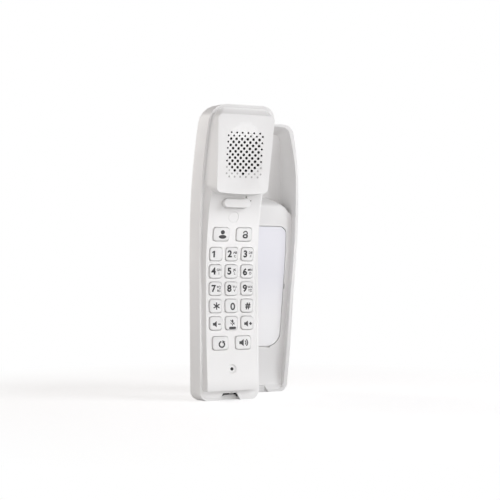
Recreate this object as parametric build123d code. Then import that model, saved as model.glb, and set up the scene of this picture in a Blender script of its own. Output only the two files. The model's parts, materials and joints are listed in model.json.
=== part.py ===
from build123d import *
from math import atan2, cos, radians, sin, sqrt
import os

# Audio intercom telephone in two pieces: a slim handset with its keypad on the inner face, standing upright,
# and the cradle base it hangs in, standing behind it. Fronts face -Y, heights run along +Z, sizes are in mm.

os.makedirs("parts", exist_ok=True)

# Overall sizes of the handset
handset_height = 198.2
rim_half_width = 22.0
top_half_width = 24.4
shell_depth = 19.5
shell_flare = 1.9
flare_depth = 11.0
shell_wall = 2.0
head_round = 7.0
foot_round = 4.0
head_corner = 11.0
foot_corner = 6.0

# Parting line of the handset, seen from the side: a straight lower run and an arc that sweeps forward
bend_height = 90.0
lean = 1.6
sweep_radius = 225.0

# Front cover of the handset
cover_wall = 1.6
lip = 1.5
seat_clearance = 0.1
land = 0.3
panel_half_width = 18.5
panel_foot = 7.0
panel_rise = 3.0
panel_edge_round = 1.0
notch_height = 5.0
notch_top_half = 5.1
notch_foot_half = 7.8
notch_depth = 4.6

# Ear pod: a tilted face with a shallow dish
pod_foot = 140.5
pod_head = 191.3
pod_foot_rise = 16.8
pod_tilt = 8.3
pod_foot_half = 18.6
pod_head_half = 20.6
pod_corner = 3.0
pod_bow = 1.2
dish_depth = 1.6
dish_radius_across = 69.0
dish_radius_along = 155.0

# Sound holes of the ear pod
hole_pitch = 4.17
hole_radius = 1.0
small_hole_radius = 0.72
dimple_depth = 0.5
pattern_height = 165.0
hole_sides = 8

# Keypad
key_pitch = 11.7
first_row_height = 99.4
key_width = 9.4
wide_key_width = 11.9
wide_key_spread = 17.0
key_corner = 2.2
key_clearance = 0.15
key_rise = 0.8
key_edge = 0.4
key_travel = 1.0
key_flange = 0.4
function_row_height = 112.8
lower_row_height = 39.2
key_tall = 9.4
mat_thickness = 0.9
dome_height = 0.4
dome_radius = 2.6
dome_top = 1.4
dome_sides = 8
board_thickness = 1.2
mat_half_width = 16.6
mat_foot = 32.5
mat_head = 119.0
board_half_width = 19.0
board_foot = 28.0
board_head = 139.0

# Hook button, screw plug, microphone
hook_height = 133.5
hook_half_width = 9.8
hook_tall = 6.0
hook_rise = 3.8
hook_travel = 2.5
hook_flange = 0.5
hook_flange_thickness = 1.5
hook_round = 0.8
hook_switch_half_width = 5.0
plug_height = 124.5
plug_radius = 3.6
plug_thickness = 1.2
mic_height = 21.6
mic_hole_radius = 1.15
pin_hole_radius = 0.6
pin_hole_side = 7.5
pin_hole_height = 137.9
mic_dish_radius = 3.2
mic_dish_depth = 0.5
mic_radius = 3.0
mic_length = 2.7
boot_wall = 1.3

# Cord jacks, the same in handset and base
jack_width = 12.8
jack_depth = 11.0
jack_height = 13.0
jack_bore_width = 7.8
jack_bore_depth = 6.8
jack_bore_height = 11.0

# Ear speaker stack
speaker_radius = 15.0
speaker_depth = 5.0
magnet_radius = 8.0
magnet_depth = 2.5
gasket_width = 2.5
gasket_thickness = 1.0
cloth_thickness = 0.3

# Screws and bosses
screw_radius = 1.3
screw_head_radius = 2.4
screw_head_height = 1.6
screw_length = 9.0
boss_radius = 2.8
boss_share = 0.55
lower_screw_height = 20.0
lower_screw_half_spread = 13.5
upper_screw_height = 147.0
upper_screw_half_spread = 14.5

# Cradle base
base_height = 194.0
base_depth = 38.0
base_half_width = 22.0
base_waist_half = 21.4
base_head_half = 23.8
base_flare = 1.5
base_wall = 2.0
base_foot_corner = 6.0
foot_trim = 0.3
base_head_corner = 7.0
base_drop = 5.0
base_sill = 8.0
base_skin = 4.0
base_offset = 40.4
base_back_place = 57.6
recess_floor = 17.3
recess_floor_half = 18.2
recess_skin = 2.3
recess_head = 187.5
mouth_draft = 0.4
mouth_shoulder = 140.0
mouth_shoulder_half = 20.7
mouth_head_half = 23.7
mouth_head = 198.3
hump_head = 134.0
hump_head_deep = 141.0
hump_corner = 12.0
window_half_width = 15.5
window_foot = 33.6
window_head = 119.8
window_corner = 5.5
window_foot_corner = 9.5
window_thickness = 1.6
pry_slot_height = 76.7
pry_slot_side = 6.6
pry_slot_half = 1.8
pry_slot_wide = 1.1
window_clearance = 0.25
card_thickness = 0.3
plate_thickness = 2.0
plate_clearance = 0.15
plate_slack = 0.1
base_screw_length = 6.0
pad_half_spread = 12.0
pad_foot = 12.0
pad_head = 170.0
wall_screw_height = 45.0
wall_screw_pitch = 60.0
wall_screw_hole_radius = 2.15
wall_screw_seat = 7.0
wall_screw_cup_radius = 5.0
wall_screw_boss_radius = 4.7
base_screw_half_spread = 14.5
base_screw_foot = 22.0
base_screw_head = 181.0
base_board_half_width = 16.0
base_board_foot = 141.0
base_board_head = 176.0
base_board_stand = 4.0
board_post_half = 1.8
board_post_inset = 3.0
line_jack_width = 15.0
line_jack_tall = 14.0
line_jack_bore_width = 11.8
line_jack_bore_tall = 8.2
line_jack_bore_depth = 10.0
line_jack_foot = 122.0
ringer_radius = 9.0
ringer_depth = 4.0
pad_radius = 4.0
pad_thickness = 1.2
pad_sink = 0.7

overrun = 5.0

# Values worked out from the sizes above
lean_angle = atan2(lean, bend_height)
arc_y = lean - sweep_radius * cos(lean_angle)
arc_z = bend_height + sweep_radius * sin(lean_angle)
span = 3 * handset_height


def rim_y(height):
    """Depth of the parting line at a height."""
    if height < bend_height:
        return lean * height / bend_height
    return arc_y + sqrt(sweep_radius**2 - (height - arc_z) ** 2)


flare_start_share = 0.55
flare_start = flare_start_share * handset_height


def rim_half(height):
    """Half width of the parting line at a height: parallel below, wider towards the head."""
    share = max(height - flare_start, 0) / (handset_height - flare_start)
    return rim_half_width + (top_half_width - rim_half_width) * share


def side_prism(shift, forward):
    """Everything behind, or in front of, the parting line moved back by shift."""
    low = -overrun
    high = handset_height + overrun
    middle = (bend_height + high) / 2
    foot = (rim_y(low) + shift, low)
    bend = (lean + shift, bend_height)
    head = (rim_y(high) + shift, high)
    far = -span if forward else span
    edge = Line(foot, bend) + ThreePointArc(bend, (rim_y(middle) + shift, middle), head)
    edge += Polyline(head, (far, high), (far, low), foot)
    return extrude(Plane.YZ * make_face(edge), amount=span, both=True)


back_shares = ((1, 0), (0.88, 0.62), (0.52, 0.93), (0, 1))


def drawn_in(height, inset, head_radius, foot_radius):
    """How far a wall stands inside the plain form, more and more towards the rounded ends."""
    above = height - handset_height + head_radius
    below = foot_radius - height
    if above > 0:
        radius = head_radius - inset
        return inset + radius - sqrt(max(radius**2 - above**2, 0))
    if below > 0:
        radius = foot_radius - inset
        return inset + radius - sqrt(max(radius**2 - below**2, 0))
    return inset


def shell_section(height, inset):
    """Right half of a level section of the handset: a straight flared flank and a rounded back."""
    rim = rim_y(height)
    half = rim_half(height) - drawn_in(height, inset, head_corner, foot_corner)
    wide = half + shell_flare
    front = rim - overrun
    front_half = half - shell_flare * overrun / flare_depth
    waist = rim + flare_depth
    back = shell_depth - flare_depth - drawn_in(height, inset, head_round, foot_round)
    points = [(wide * x, waist + back * y) for x, y in back_shares]
    flank = (wide - front_half, waist - front)
    edge = Polyline(points[-1], (0, front), (front_half, front), points[0])
    edge += Polyline(*points) if inset else Spline(*points, tangents=(flank, (-1, 0)))
    return Plane.XY.offset(height) * make_face(edge)


sweep_shares = (0, 0.25, 0.5, 0.75, 1)
end_turns = (0, 18, 36, 54, 72, 90)


def shell_form(inset):
    """The handset's outer form, or the same form a wall thickness smaller."""
    foot_radius = foot_corner - inset
    head_radius = head_corner - inset
    low = foot_corner
    high = handset_height - head_corner
    foot_heights = [low - foot_radius * sin(radians(turn)) for turn in reversed(end_turns)]
    sweep_heights = [bend_height + (high - bend_height) * share for share in sweep_shares]
    head_heights = [high + head_radius * sin(radians(turn)) for turn in end_turns]
    sweep = loft([shell_section(height, inset) for height in sweep_heights])
    runs = (foot_heights, (low, bend_height), head_heights)
    lofts = [loft([shell_section(height, inset) for height in run], ruled=True) for run in runs]
    foot, straight, head = lofts
    half = foot + straight + sweep + head
    return half + mirror(half, about=Plane.YZ)


def cover_outline(gap):
    """Front view of the cover inside the lip of the back shell, drawn in further by gap."""
    inset = lip + gap
    head = handset_height - inset
    right = [(rim_half(height) - inset, height) for height in (inset, flare_start, head)]
    left = [(-x, y) for x, y in reversed(right)]
    face = make_face(Polyline(*right, *left, close=True))
    corners = face.vertices().sort_by(Axis.Y)
    face = fillet(corners[:2], foot_corner - inset)
    corners = face.vertices().sort_by(Axis.Y)
    return extrude(Plane.XZ * fillet(corners[-2:], head_corner - inset), amount=span, both=True)


rise_table_shares = (
    (0.076, 1.46), (0.151, 1.18), (0.252, 0.97), (0.353, 0.93), (0.454, 1.1), (0.535, 1.45), (0.606, 1.75),
    (0.677, 2.25), (0.747, 3.1),
)


def panel_form(inset, forward):
    """Raised keypad panel: a bar with sloping flanks whose face dips gently between foot and head."""
    foot = panel_foot + inset
    table = ((foot / handset_height, rise_table_shares[0][1]),) + rise_table_shares
    faces = []
    for height_share, rise_share in table:
        height = handset_height * height_share
        low = rim_y(height) + cover_wall + overrun
        top = rim_y(height) - panel_rise * rise_share + inset - forward
        root = rim_half(height) - lip - seat_clearance - land - inset
        face_half = panel_half_width - inset
        edge = Polyline((-root, low), (-root, rim_y(height)), (-face_half, top), (face_half, top),
                        (root, rim_y(height)), (root, low), close=True)
        faces.append(Plane.XY.offset(height) * make_face(edge))
    return loft(faces)


pod_middle = (pod_foot + pod_head) / 2
pod_length = (pod_head - pod_foot) / cos(radians(pod_tilt))
pod_face_y = rim_y(pod_foot) - pod_foot_rise - (pod_head - pod_foot) / 2 * sin(radians(pod_tilt))
pod_plane = Plane(
    origin=(0, pod_face_y, pod_middle),
    x_dir=(1, 0, 0),
    z_dir=(0, -cos(radians(pod_tilt)), -sin(radians(pod_tilt))),
)
root_foot = pod_foot - panel_edge_round
root_head = handset_height - lip - 2 * (seat_clearance + land)
root_angle = atan2(rim_y(root_foot) - rim_y(root_head), root_head - root_foot)
root_plane = Plane(
    origin=(0, (rim_y(root_foot) + rim_y(root_head)) / 2, (root_foot + root_head) / 2),
    x_dir=(1, 0, 0),
    z_dir=(0, -cos(root_angle), -sin(root_angle)),
)
root_length = (root_head - root_foot) / cos(root_angle)


def pod_outline(half_length, foot_half, head_half, corner, bow):
    """Tapered outline with rounded corners and a bowed foot, centred on its plane."""
    foot = ThreePointArc((-foot_half, -half_length), (0, -half_length - bow), (foot_half, -half_length))
    sides = Polyline((foot_half, -half_length), (head_half, half_length), (-head_half, half_length),
                     (-foot_half, -half_length))
    face = make_face(foot + sides)
    return fillet(face.vertices(), corner)


def pod_form(inset, sink):
    """Ear pod: a block that spreads from its tilted face to the parting line."""
    face = pod_outline(pod_length / 2 - inset, pod_foot_half - inset, pod_head_half - inset,
                       pod_corner - inset / 2, pod_bow)
    root_inset = lip + seat_clearance + land + inset
    root_halves = rim_half(root_foot) - root_inset, rim_half(root_head) - root_inset
    root = pod_outline(root_length / 2 - inset, *root_halves, head_corner - root_inset, pod_bow)
    near = pod_plane.offset(-sink) * face
    far = root_plane * root
    block = loft([far, near], ruled=True)
    return block + extrude(root_plane * root, amount=-cover_wall - overrun)


def hole_places():
    """Centres and row numbers of the sound holes, staggered rows of six and seven."""
    rows = 15
    for row in range(rows):
        count = 6 + row % 2
        y = pattern_height - pod_middle + (rows // 2 - row) * hole_pitch / 2
        for column in range(count):
            yield row, column, count, (column - (count - 1) / 2) * hole_pitch, y


def is_dimple(row, column, count):
    """The lowest rows fade out as blind dimples."""
    at_end = column in (0, count - 1)
    return row == 14 or (row == 13 and column != count // 2) or (row in (11, 12) and at_end)


def pill(half_width, tall, near, far, height):
    """Upright oblong prism between two depths."""
    face = SlotOverall(2 * half_width, tall)
    return extrude(Plane.XZ.offset(-far) * Pos(0, height) * face, amount=far - near)


def cylinder_y(radius, near, far, x, height):
    """Round bar along Y between two depths."""
    return extrude(Plane.XZ.offset(-far) * Pos(x, height) * Circle(radius), amount=far - near)


def block(half_width, near, far, low, high, x=0):
    """Square block given by its half width, depths and heights."""
    face = Pos(x, (low + high) / 2) * Rectangle(2 * half_width, high - low)
    return extrude(Plane.XZ.offset(-far) * face, amount=far - near)


# Depths inside the handset
board_front = lean + cover_wall + seat_clearance
board_back = board_front + board_thickness
key_back = board_front - mat_thickness - dome_height - seat_clearance - key_travel


def key_places():
    """Name, column place, row height and width of each key."""
    digits = ("1", "2", "3", "4", "5", "6", "7", "8", "9", "star", "0", "hash")
    for index, name in enumerate(digits + ("volume_down", "mute", "volume_up")):
        row, column = divmod(index, 3)
        yield "key_" + name, (column - 1) * key_pitch, first_row_height - row * key_pitch, key_width
    for name, side, height in (
        ("guard", -1, function_row_height), ("unlock", 1, function_row_height),
        ("redial", -1, lower_row_height), ("loudspeaker", 1, lower_row_height),
    ):
        yield "key_" + name, side * wide_key_spread / 2, height, wide_key_width


def key_prism(x, height, width, tall, corner):
    """Straight rounded prism of a key or of its window."""
    face = Pos(x, height) * RectangleRounded(width, tall, corner)
    return extrude(Plane.XZ * face, amount=span, both=True)


handset = {}
base = {}
outer = shell_form(0)
inner = shell_form(shell_wall)
in_front_of_cover_back = side_prism(cover_wall, True)
panel = panel_form(0, 0)
panel_inside = panel_form(cover_wall, 0)
pod = pod_form(0, 0)
pod_inside = pod_form(cover_wall, cover_wall + dish_depth)

dish_ring = dish_radius_along - dish_radius_across
dish_middle = pod_plane * Pos(0, 0, dish_radius_along - dish_depth)
dish = dish_middle * Rot(0, 90, 0) * Torus(dish_ring, dish_radius_across)
slab = side_prism(0, False) & in_front_of_cover_back & cover_outline(seat_clearance)
cover = slab + (panel & in_front_of_cover_back) + (pod & in_front_of_cover_back)
cover = cover - panel_inside - pod_inside - dish


def screw_places():
    """Places of the four case screws of the handset."""
    for side in (-1, 1):
        yield side * lower_screw_half_spread, lower_screw_height
        yield side * upper_screw_half_spread, upper_screw_height


# Screw bosses of the cover reach back to the bosses of the shell
boss_meeting = rim_y(lower_screw_height) + boss_share * shell_depth
cover_skin = panel + pod
for x, height in screw_places():
    boss = cylinder_y(boss_radius, -span, boss_meeting, x, height) & cover_skin
    rear = cylinder_y(boss_radius, rim_y(height), boss_meeting, x, height)
    cover += (boss - dish) + rear
    cover -= cylinder_y(screw_radius, boss_meeting - screw_length, boss_meeting + overrun, x, height)

# Windows of the keys and the hook button
for name, x, height, width in key_places():
    cover -= key_prism(x, height, width + 2 * key_clearance, key_tall + 2 * key_clearance, key_corner)
cover -= pill(hook_half_width + key_clearance, hook_tall + 2 * key_clearance, -span, span, hook_height)

# Microphone hole in its shallow dish, seat of the screw plug, notch for the cord's latch
mic_face = rim_y(mic_height) - panel_rise * rise_table_shares[0][1]
mic_cone = Cone(0, 2 * mic_dish_radius, 2 * mic_dish_depth)
mic_plane = Plane.XZ.offset(-mic_face - mic_dish_depth)
cover -= mic_plane * Pos(0, mic_height, mic_dish_depth) * mic_cone
cover -= cylinder_y(mic_hole_radius, -span, span, 0, mic_height)
cover -= cylinder_y(pin_hole_radius, -span, span, pin_hole_side, pin_hole_height)


def notch(gap):
    """Trapezoid slot in the foot, wider at the floor."""
    foot_half = notch_foot_half + gap
    top_half = notch_top_half + gap
    corners = (-foot_half, 0), (foot_half, 0), (top_half, notch_height), (-top_half, notch_height)
    face = make_face(Polyline(*corners, close=True))
    drop = block(foot_half, -span, span, -overrun, 0)
    return extrude(Plane.XZ * face, amount=span, both=True) + drop


front_half_space = block(span, -span, notch_depth, -span, span)
cover -= notch(0) & front_half_space


# Seat of the round plug above the keypad
def panel_face_y(height):
    """Depth of the panel's face on the centre line."""
    share = height / handset_height
    for (low, low_rise), (high, high_rise) in zip(rise_table_shares, rise_table_shares[1:]):
        if low <= share <= high:
            rise = low_rise + (high_rise - low_rise) * (share - low) / (high - low)
            return rim_y(height) - panel_rise * rise
    return rim_y(height) - panel_rise * rise_table_shares[0][1]


plug_floor = panel_face_y(plug_height - plug_radius) + plug_thickness
plug_back = plug_floor + cover_wall
cover += cylinder_y(plug_radius + cover_wall, -span, plug_back, 0, plug_height) & cover_skin
cover -= cylinder_y(plug_radius + seat_clearance, -span, plug_floor, 0, plug_height)
plug = cylinder_y(plug_radius, -span, plug_floor, 0, plug_height) & panel_form(seat_clearance, 0)

# Sound holes, the last rows as blind dimples
drills = []
for row, column, count, x, y in hole_places():
    blind = is_dimple(row, column, count)
    small = blind or row < 2 or (count == 7 and column in (0, count - 1))
    radius = small_hole_radius if small else hole_radius
    depth = dish_depth + (dimple_depth if blind else cover_wall + overrun)
    drill = extrude(RegularPolygon(radius, hole_sides), amount=depth + overrun)
    drills.append(pod_plane * Pos(x, y, -depth) * drill)
cover = cover - Compound(drills)

handset["handset_front_cover"] = cover
handset["round_plug"] = plug

# Keys: each slides in its window and is held by a flange behind the cover
flange_form = panel_form(cover_wall + seat_clearance, 0)
flange_behind = cover_wall + 2 * seat_clearance


def button_side(height, tall, behind, back):
    """Side view of a button: a flat front along the panel's face, and a back square to its travel."""
    low, high = height - tall / 2, height + tall / 2
    low_front, high_front = panel_face_y(low) + behind, panel_face_y(high) + behind
    face = make_face(Polyline((low_front, low), (high_front, high), (back, high), (back, low), close=True))
    return extrude(Plane.YZ * face, amount=span, both=True)


for name, x, height, width in key_places():
    outline = key_prism(x, height, width, key_tall, key_corner)
    cap = outline & button_side(height, key_tall, -key_rise, key_back)
    cap = chamfer(cap.faces().sort_by(Axis.Y)[0].edges(), key_edge)
    tall = key_tall + 2 * key_flange
    flange = block(width / 2 + key_flange, -span, span, height - tall / 2, height + tall / 2, x)
    handset[name] = cap + (flange & button_side(height, tall, flange_behind, key_back))

# Back shell of the handset
shell = (outer & side_prism(0, False)) - inner
shell -= cover_outline(0) & side_prism(cover_wall + seat_clearance, True)
screw_seat = boss_meeting + cover_wall
screw_hole = screw_radius + 2 * seat_clearance
screw_well = screw_head_radius + 2 * seat_clearance
for x, height in screw_places():
    shell += cylinder_y(screw_head_radius + shell_wall, boss_meeting, span, x, height) & outer
    shell -= cylinder_y(screw_well, screw_seat, span, x, height)
    shell -= cylinder_y(screw_hole, boss_meeting - overrun, screw_seat + overrun, x, height)
shell -= notch(0) & front_half_space
jack_front = notch_depth + seat_clearance
jack_middle = jack_front + jack_depth / 2
bore_front = jack_middle - jack_bore_depth / 2
bore_back = jack_middle + jack_bore_depth / 2
bore_half = jack_bore_width / 2 + window_clearance
bore_front_edge, bore_back_edge = bore_front - window_clearance, bore_back + window_clearance
shell -= block(bore_half, bore_front_edge, bore_back_edge, -overrun, shell_wall + overrun)
handset["handset_back_shell"] = shell


def cord_jack(front):
    """Socket block for the handset cord, open downwards."""
    foot = shell_wall + seat_clearance / 2
    body = block(jack_width / 2, front, front + jack_depth, foot, foot + jack_height)
    middle = front + jack_depth / 2
    bore = block(jack_bore_width / 2, middle - jack_bore_depth / 2, middle + jack_bore_depth / 2,
                 -overrun, foot + jack_bore_height)
    return body - bore


def screw(x, seat, height, forward_length):
    """Pan-head case screw driven from behind."""
    head = cylinder_y(screw_head_radius, seat, seat + screw_head_height, x, height)
    return head + cylinder_y(screw_radius - seat_clearance / 2, seat - forward_length, seat, x, height)


handset_screws = [screw(x, screw_seat, height, screw_length) for x, height in screw_places()]
handset["handset_screws"] = Compound(handset_screws)
handset["handset_cord_jack"] = cord_jack(jack_front)

# Key mat, key board and hook switch
mat = block(mat_half_width, board_front - mat_thickness, board_front, mat_foot, mat_head)
for name, x, height, width in key_places():
    dome_foot = Plane.XZ.offset(mat_thickness - board_front) * Pos(x, height)
    dome_head = Plane.XZ.offset(mat_thickness + dome_height - board_front) * Pos(x, height)
    wide = dome_foot * RegularPolygon(dome_radius, dome_sides)
    narrow = dome_head * RegularPolygon(dome_top, dome_sides)
    mat += loft([wide, narrow])
board = block(board_half_width, board_front, board_back, board_foot, board_head)
handset["key_mat"] = mat
handset["key_board"] = board

hook_face = panel_face_y(hook_height) - hook_rise
hook_back = panel_face_y(hook_height - hook_tall / 2) + cover_wall + hook_flange_thickness
hook = pill(hook_half_width, hook_tall, hook_face, hook_back, hook_height)
hook_foot_tall = hook_tall + 2 * hook_flange
hook_foot = pill(hook_half_width + hook_flange, hook_foot_tall, -span, hook_back, hook_height)
hook += hook_foot & button_side(hook_height, hook_foot_tall, flange_behind, hook_back)
hook = fillet(hook.faces().sort_by(Axis.Y)[0].edges(), hook_round)
handset["hook_button"] = hook
switch_front = hook_back + hook_travel + seat_clearance
hook_low, hook_high = hook_height - hook_tall / 2, hook_height + hook_tall / 2
switch = block(hook_switch_half_width, switch_front, board_front, hook_low, hook_high)
handset["hook_switch"] = switch

# Microphone in its rubber boot
mic_inner = mic_face + cover_wall
boot_back = mic_inner + mic_length + boot_wall
boot = cylinder_y(mic_radius + boot_wall, -span, boot_back, 0, mic_height) & flange_form
boot -= cylinder_y(mic_radius, boot_back - mic_length, span, 0, mic_height)
boot -= cylinder_y(mic_hole_radius, -span, span, 0, mic_height)
handset["microphone_boot"] = boot
handset["microphone"] = cylinder_y(mic_radius, boot_back - mic_length, boot_back, 0, mic_height)

# Ear speaker behind the sound holes, with its dust cloth and foam ring
speaker_centre = pattern_height - pod_middle
cloth_face = -(cover_wall + dish_depth)


def pod_disc(radius, top, thickness):
    """Disc parallel to the pod's face, centred behind the sound holes."""
    disc = Cylinder(radius, thickness, align=(Align.CENTER, Align.CENTER, Align.MAX))
    return pod_plane * Pos(0, speaker_centre, top) * disc


cloth = pod_disc(speaker_radius, cloth_face, cloth_thickness)
ring_face = cloth_face - cloth_thickness
ring = pod_disc(speaker_radius, ring_face, gasket_thickness)
ring -= pod_disc(speaker_radius - gasket_width, ring_face + overrun, 2 * overrun + gasket_thickness)
speaker_face = ring_face - gasket_thickness
speaker = pod_disc(speaker_radius, speaker_face, speaker_depth)
cone_depth = speaker_depth - magnet_depth
cone = Cone(magnet_radius / 2, speaker_radius - gasket_width, cone_depth)
speaker -= pod_plane * Pos(0, speaker_centre, speaker_face - cone_depth / 2) * cone
speaker += pod_disc(magnet_radius, speaker_face - speaker_depth, magnet_depth)
handset["speaker_cloth"] = cloth
handset["speaker_gasket"] = ring
handset["ear_speaker"] = speaker

# Base: side view of the rim, deepest behind the handset's waist
rim_depth_shares = (
    (0, 0.5), (0.16, 0.676), (0.345, 0.829), (0.53, 0.96),
    (0.72, 0.99), (0.86, 0.903), (0.94, 0.776), (1, 0.67),
)
below_share, below_depth_share = -0.04, 0.455
above_share, above_depth_share = 1.04, 0.59
base_waist_share = 0.38


def base_prism(shift, forward):
    """Everything behind, or in front of, the base's rim moved back by shift."""
    table = ((below_share, below_depth_share),) + rim_depth_shares + ((above_share, above_depth_share),)
    points = [(shift - base_depth * depth, base_height * height) for height, depth in table]
    far = -span if forward else span
    edge = Spline(*points) + Polyline(points[-1], (far, points[-1][1]), (far, points[0][1]), points[0])
    return extrude(Plane.YZ * make_face(edge), amount=span, both=True)


def base_rim_y(height):
    """Depth of the base's rim at a height, between the places of its side view."""
    share = height / base_height
    for (low, low_depth), (high, high_depth) in zip(rim_depth_shares, rim_depth_shares[1:]):
        if low <= share <= high:
            return -base_depth * (low_depth + (high_depth - low_depth) * (share - low) / (high - low))
    return -base_depth * rim_depth_shares[-1][1]


def base_outline(inset, foot_corner_radius, head_corner_radius, flare=0):
    """Front view of the base, drawn in by inset and widened by flare."""
    waist = base_waist_share * base_height
    foot = inset - foot_trim
    halves = ((base_half_width, foot), (base_waist_half, waist), (base_head_half, base_height - inset))
    right = [(half - inset + flare, height) for half, height in halves]
    left = [(-x, y) for x, y in reversed(right)]
    face = make_face(Polyline(*right, *left, close=True))
    corners = face.vertices().sort_by(Axis.Y)
    face = fillet(corners[:2], foot_corner_radius)
    corners = face.vertices().sort_by(Axis.Y)
    return fillet(corners[-2:], head_corner_radius)


front_outline = Plane.XZ.offset(base_depth) * base_outline(0, base_foot_corner, base_head_corner)
rear_outline = Plane.XZ * base_outline(0, base_foot_corner, base_head_corner, base_flare)
tray = loft([rear_outline, front_outline], ruled=True) & base_prism(0, False)
tray -= block(span, -span, span, -overrun, 0)
wall_foot_corner = base_foot_corner - base_wall
wall_head_corner = base_head_corner - base_wall


def mouth_outline(halves, skin):
    """Front view of the mouth of the base, widened by skin."""
    right = [(half + skin, height) for half, height in halves]
    left = [(-x, y) for x, y in reversed(right)]
    face = make_face(Polyline(*right, *left, close=True))
    corners = face.vertices().sort_by(Axis.Y)
    face = fillet(corners[:2], wall_foot_corner)
    corners = face.vertices().sort_by(Axis.Y)
    return fillet(corners[-2:], wall_head_corner)


recess_mouth_half = base_waist_half - base_wall


def mouth_form(skin):
    """The hollow that takes the handset's inner side, spreading from the recess floor to the rim."""
    foot = base_wall - skin
    waist = base_waist_share * base_height
    foot_half = base_half_width - base_wall
    rear_halves = ((foot_half - mouth_draft, foot), (recess_mouth_half - mouth_draft, waist),
                   (recess_floor_half, hump_head), (recess_floor_half, recess_head + skin))
    front_halves = ((foot_half, foot), (recess_mouth_half, waist), (mouth_shoulder_half, mouth_shoulder),
                    (mouth_head_half, mouth_head + skin))
    rear = Plane.XZ.offset(recess_floor - skin) * mouth_outline(rear_halves, skin)
    return loft([rear, Plane.XZ.offset(base_depth) * mouth_outline(front_halves, skin)], ruled=True)


def above_hump(half_width, hump):
    """Front view of the room above the round-shouldered hump of the panel."""
    spring = hump - hump_corner
    shoulder = half_width - hump_corner
    left_arc = CenterArc((-shoulder, spring), hump_corner, 90, 90)
    right_arc = CenterArc((shoulder, spring), hump_corner, 0, 90)
    crest = Line((-shoulder, hump), (shoulder, hump))
    far = half_width + hump_corner
    top = base_height + hump_corner
    left_side, right_side = (-half_width, spring), (half_width, spring)
    walls = Polyline(left_side, (-far, spring), (-far, top), (far, top), (far, spring), right_side)
    return make_face(left_arc + crest + right_arc + walls)


def recess_form(skin):
    """The ear recess, or the recess with its walls."""
    rear = Plane.XZ.offset(recess_floor - skin) * above_hump(recess_floor_half + skin, hump_head_deep - skin)
    front = Plane.XZ.offset(base_depth) * above_hump(mouth_shoulder_half + skin, hump_head - skin)
    return loft([rear, front], ruled=True) & mouth_form(skin)


sill_front, sill_back = (base_rim_y(base_wall), base_wall), (base_rim_y(base_sill) + base_drop, base_sill)
outside = (0, base_sill), (0, -overrun), (-span, -overrun), (-span, base_wall)
sill_edge = Polyline(sill_front, sill_back, *outside, close=True)
sill = extrude(Plane.YZ * make_face(sill_edge), amount=span, both=True)
tray -= (mouth_form(0) & base_prism(base_drop, True)) - sill
tray -= recess_form(0)

# Hollow behind the panel and the recess, open at the back
hollow_front = recess_skin - recess_floor
boss_back = -plate_thickness - screw_head_height
hollow = extrude(Plane.XZ * base_outline(base_wall, wall_foot_corner, wall_head_corner), amount=base_depth)
hollow = (hollow & base_prism(base_drop + base_skin, False)) - recess_form(recess_skin)
for side in (-1, 1):
    for height in (base_screw_foot, base_screw_head):
        hollow -= cylinder_y(boss_radius, -span, boss_back, side * base_screw_half_spread, height)
tray -= hollow


def base_screw_places():
    """Places of the four screws that hold the back plate."""
    for side in (-1, 1):
        yield side * base_screw_half_spread, base_screw_foot
        yield side * base_screw_half_spread, base_screw_head


for x, height in base_screw_places():
    tray -= cylinder_y(screw_radius, boss_back - base_screw_length, overrun, x, height)

# Pocket of the label window, with the cups of the two wall screws in its floor
pocket_sink = base_drop + window_thickness + card_thickness + 2 * plate_slack


def window_prism(gap):
    """Straight prism of the label window, with wider corners at its foot, grown by gap."""
    low, high = window_foot - gap, window_head + gap
    half = window_half_width + gap
    face = make_face(Polyline((-half, low), (half, low), (half, high), (-half, high), close=True))
    corners = face.vertices().sort_by(Axis.Y)
    face = fillet(corners[:2], window_foot_corner)
    corners = face.vertices().sort_by(Axis.Y)
    return extrude(Plane.XZ * fillet(corners[-2:], window_corner), amount=span, both=True)


pry_side = window_half_width + pry_slot_wide
pocket = window_prism(window_clearance)
pry_low, pry_high = pry_slot_height - pry_slot_half, pry_slot_height + pry_slot_half
pocket += block(pry_side / 2, -span, span, pry_low, pry_high, pry_side / 2)
pocket += block(pry_slot_half, -span, span, window_foot - pry_slot_wide, pry_slot_height, pry_slot_side)
tray -= pocket & base_prism(pocket_sink, True)
wall_screw_heights = (wall_screw_height, wall_screw_height + wall_screw_pitch)
for height in wall_screw_heights:
    tray -= cylinder_y(wall_screw_cup_radius, -span, overrun, 0, height) & pocket
window = window_prism(0)
base["label_window"] = window & base_prism(base_drop, False) & base_prism(base_drop + window_thickness, True)
card_shape = window_prism(-window_clearance)
card_front = base_drop + window_thickness + plate_slack
card_shape &= base_prism(card_front, False)
base["label_card"] = card_shape & base_prism(card_front + card_thickness, True)

# Notch and jack for the handset cord in the foot of the base
base_jack_front = -plate_thickness - plate_slack - jack_depth
base_jack_back = base_jack_front + jack_depth
jack_pocket = block(jack_width / 2 + plate_slack, base_jack_front - plate_slack, overrun, base_wall,
                    base_wall + jack_height + base_wall)
tray -= jack_pocket
tray -= notch(0) & block(span, -span, base_jack_front - plate_slack, -span, span)
base_bore_middle = (base_jack_front + base_jack_back) / 2
bore_reach = jack_bore_depth / 2 + window_clearance
bore_front_edge, bore_back_edge = base_bore_middle - bore_reach, base_bore_middle + bore_reach
tray -= block(bore_half, bore_front_edge, bore_back_edge, -overrun, base_wall + overrun)
base["base_cord_jack"] = cord_jack(base_jack_front)
base["base_tray"] = tray

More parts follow.
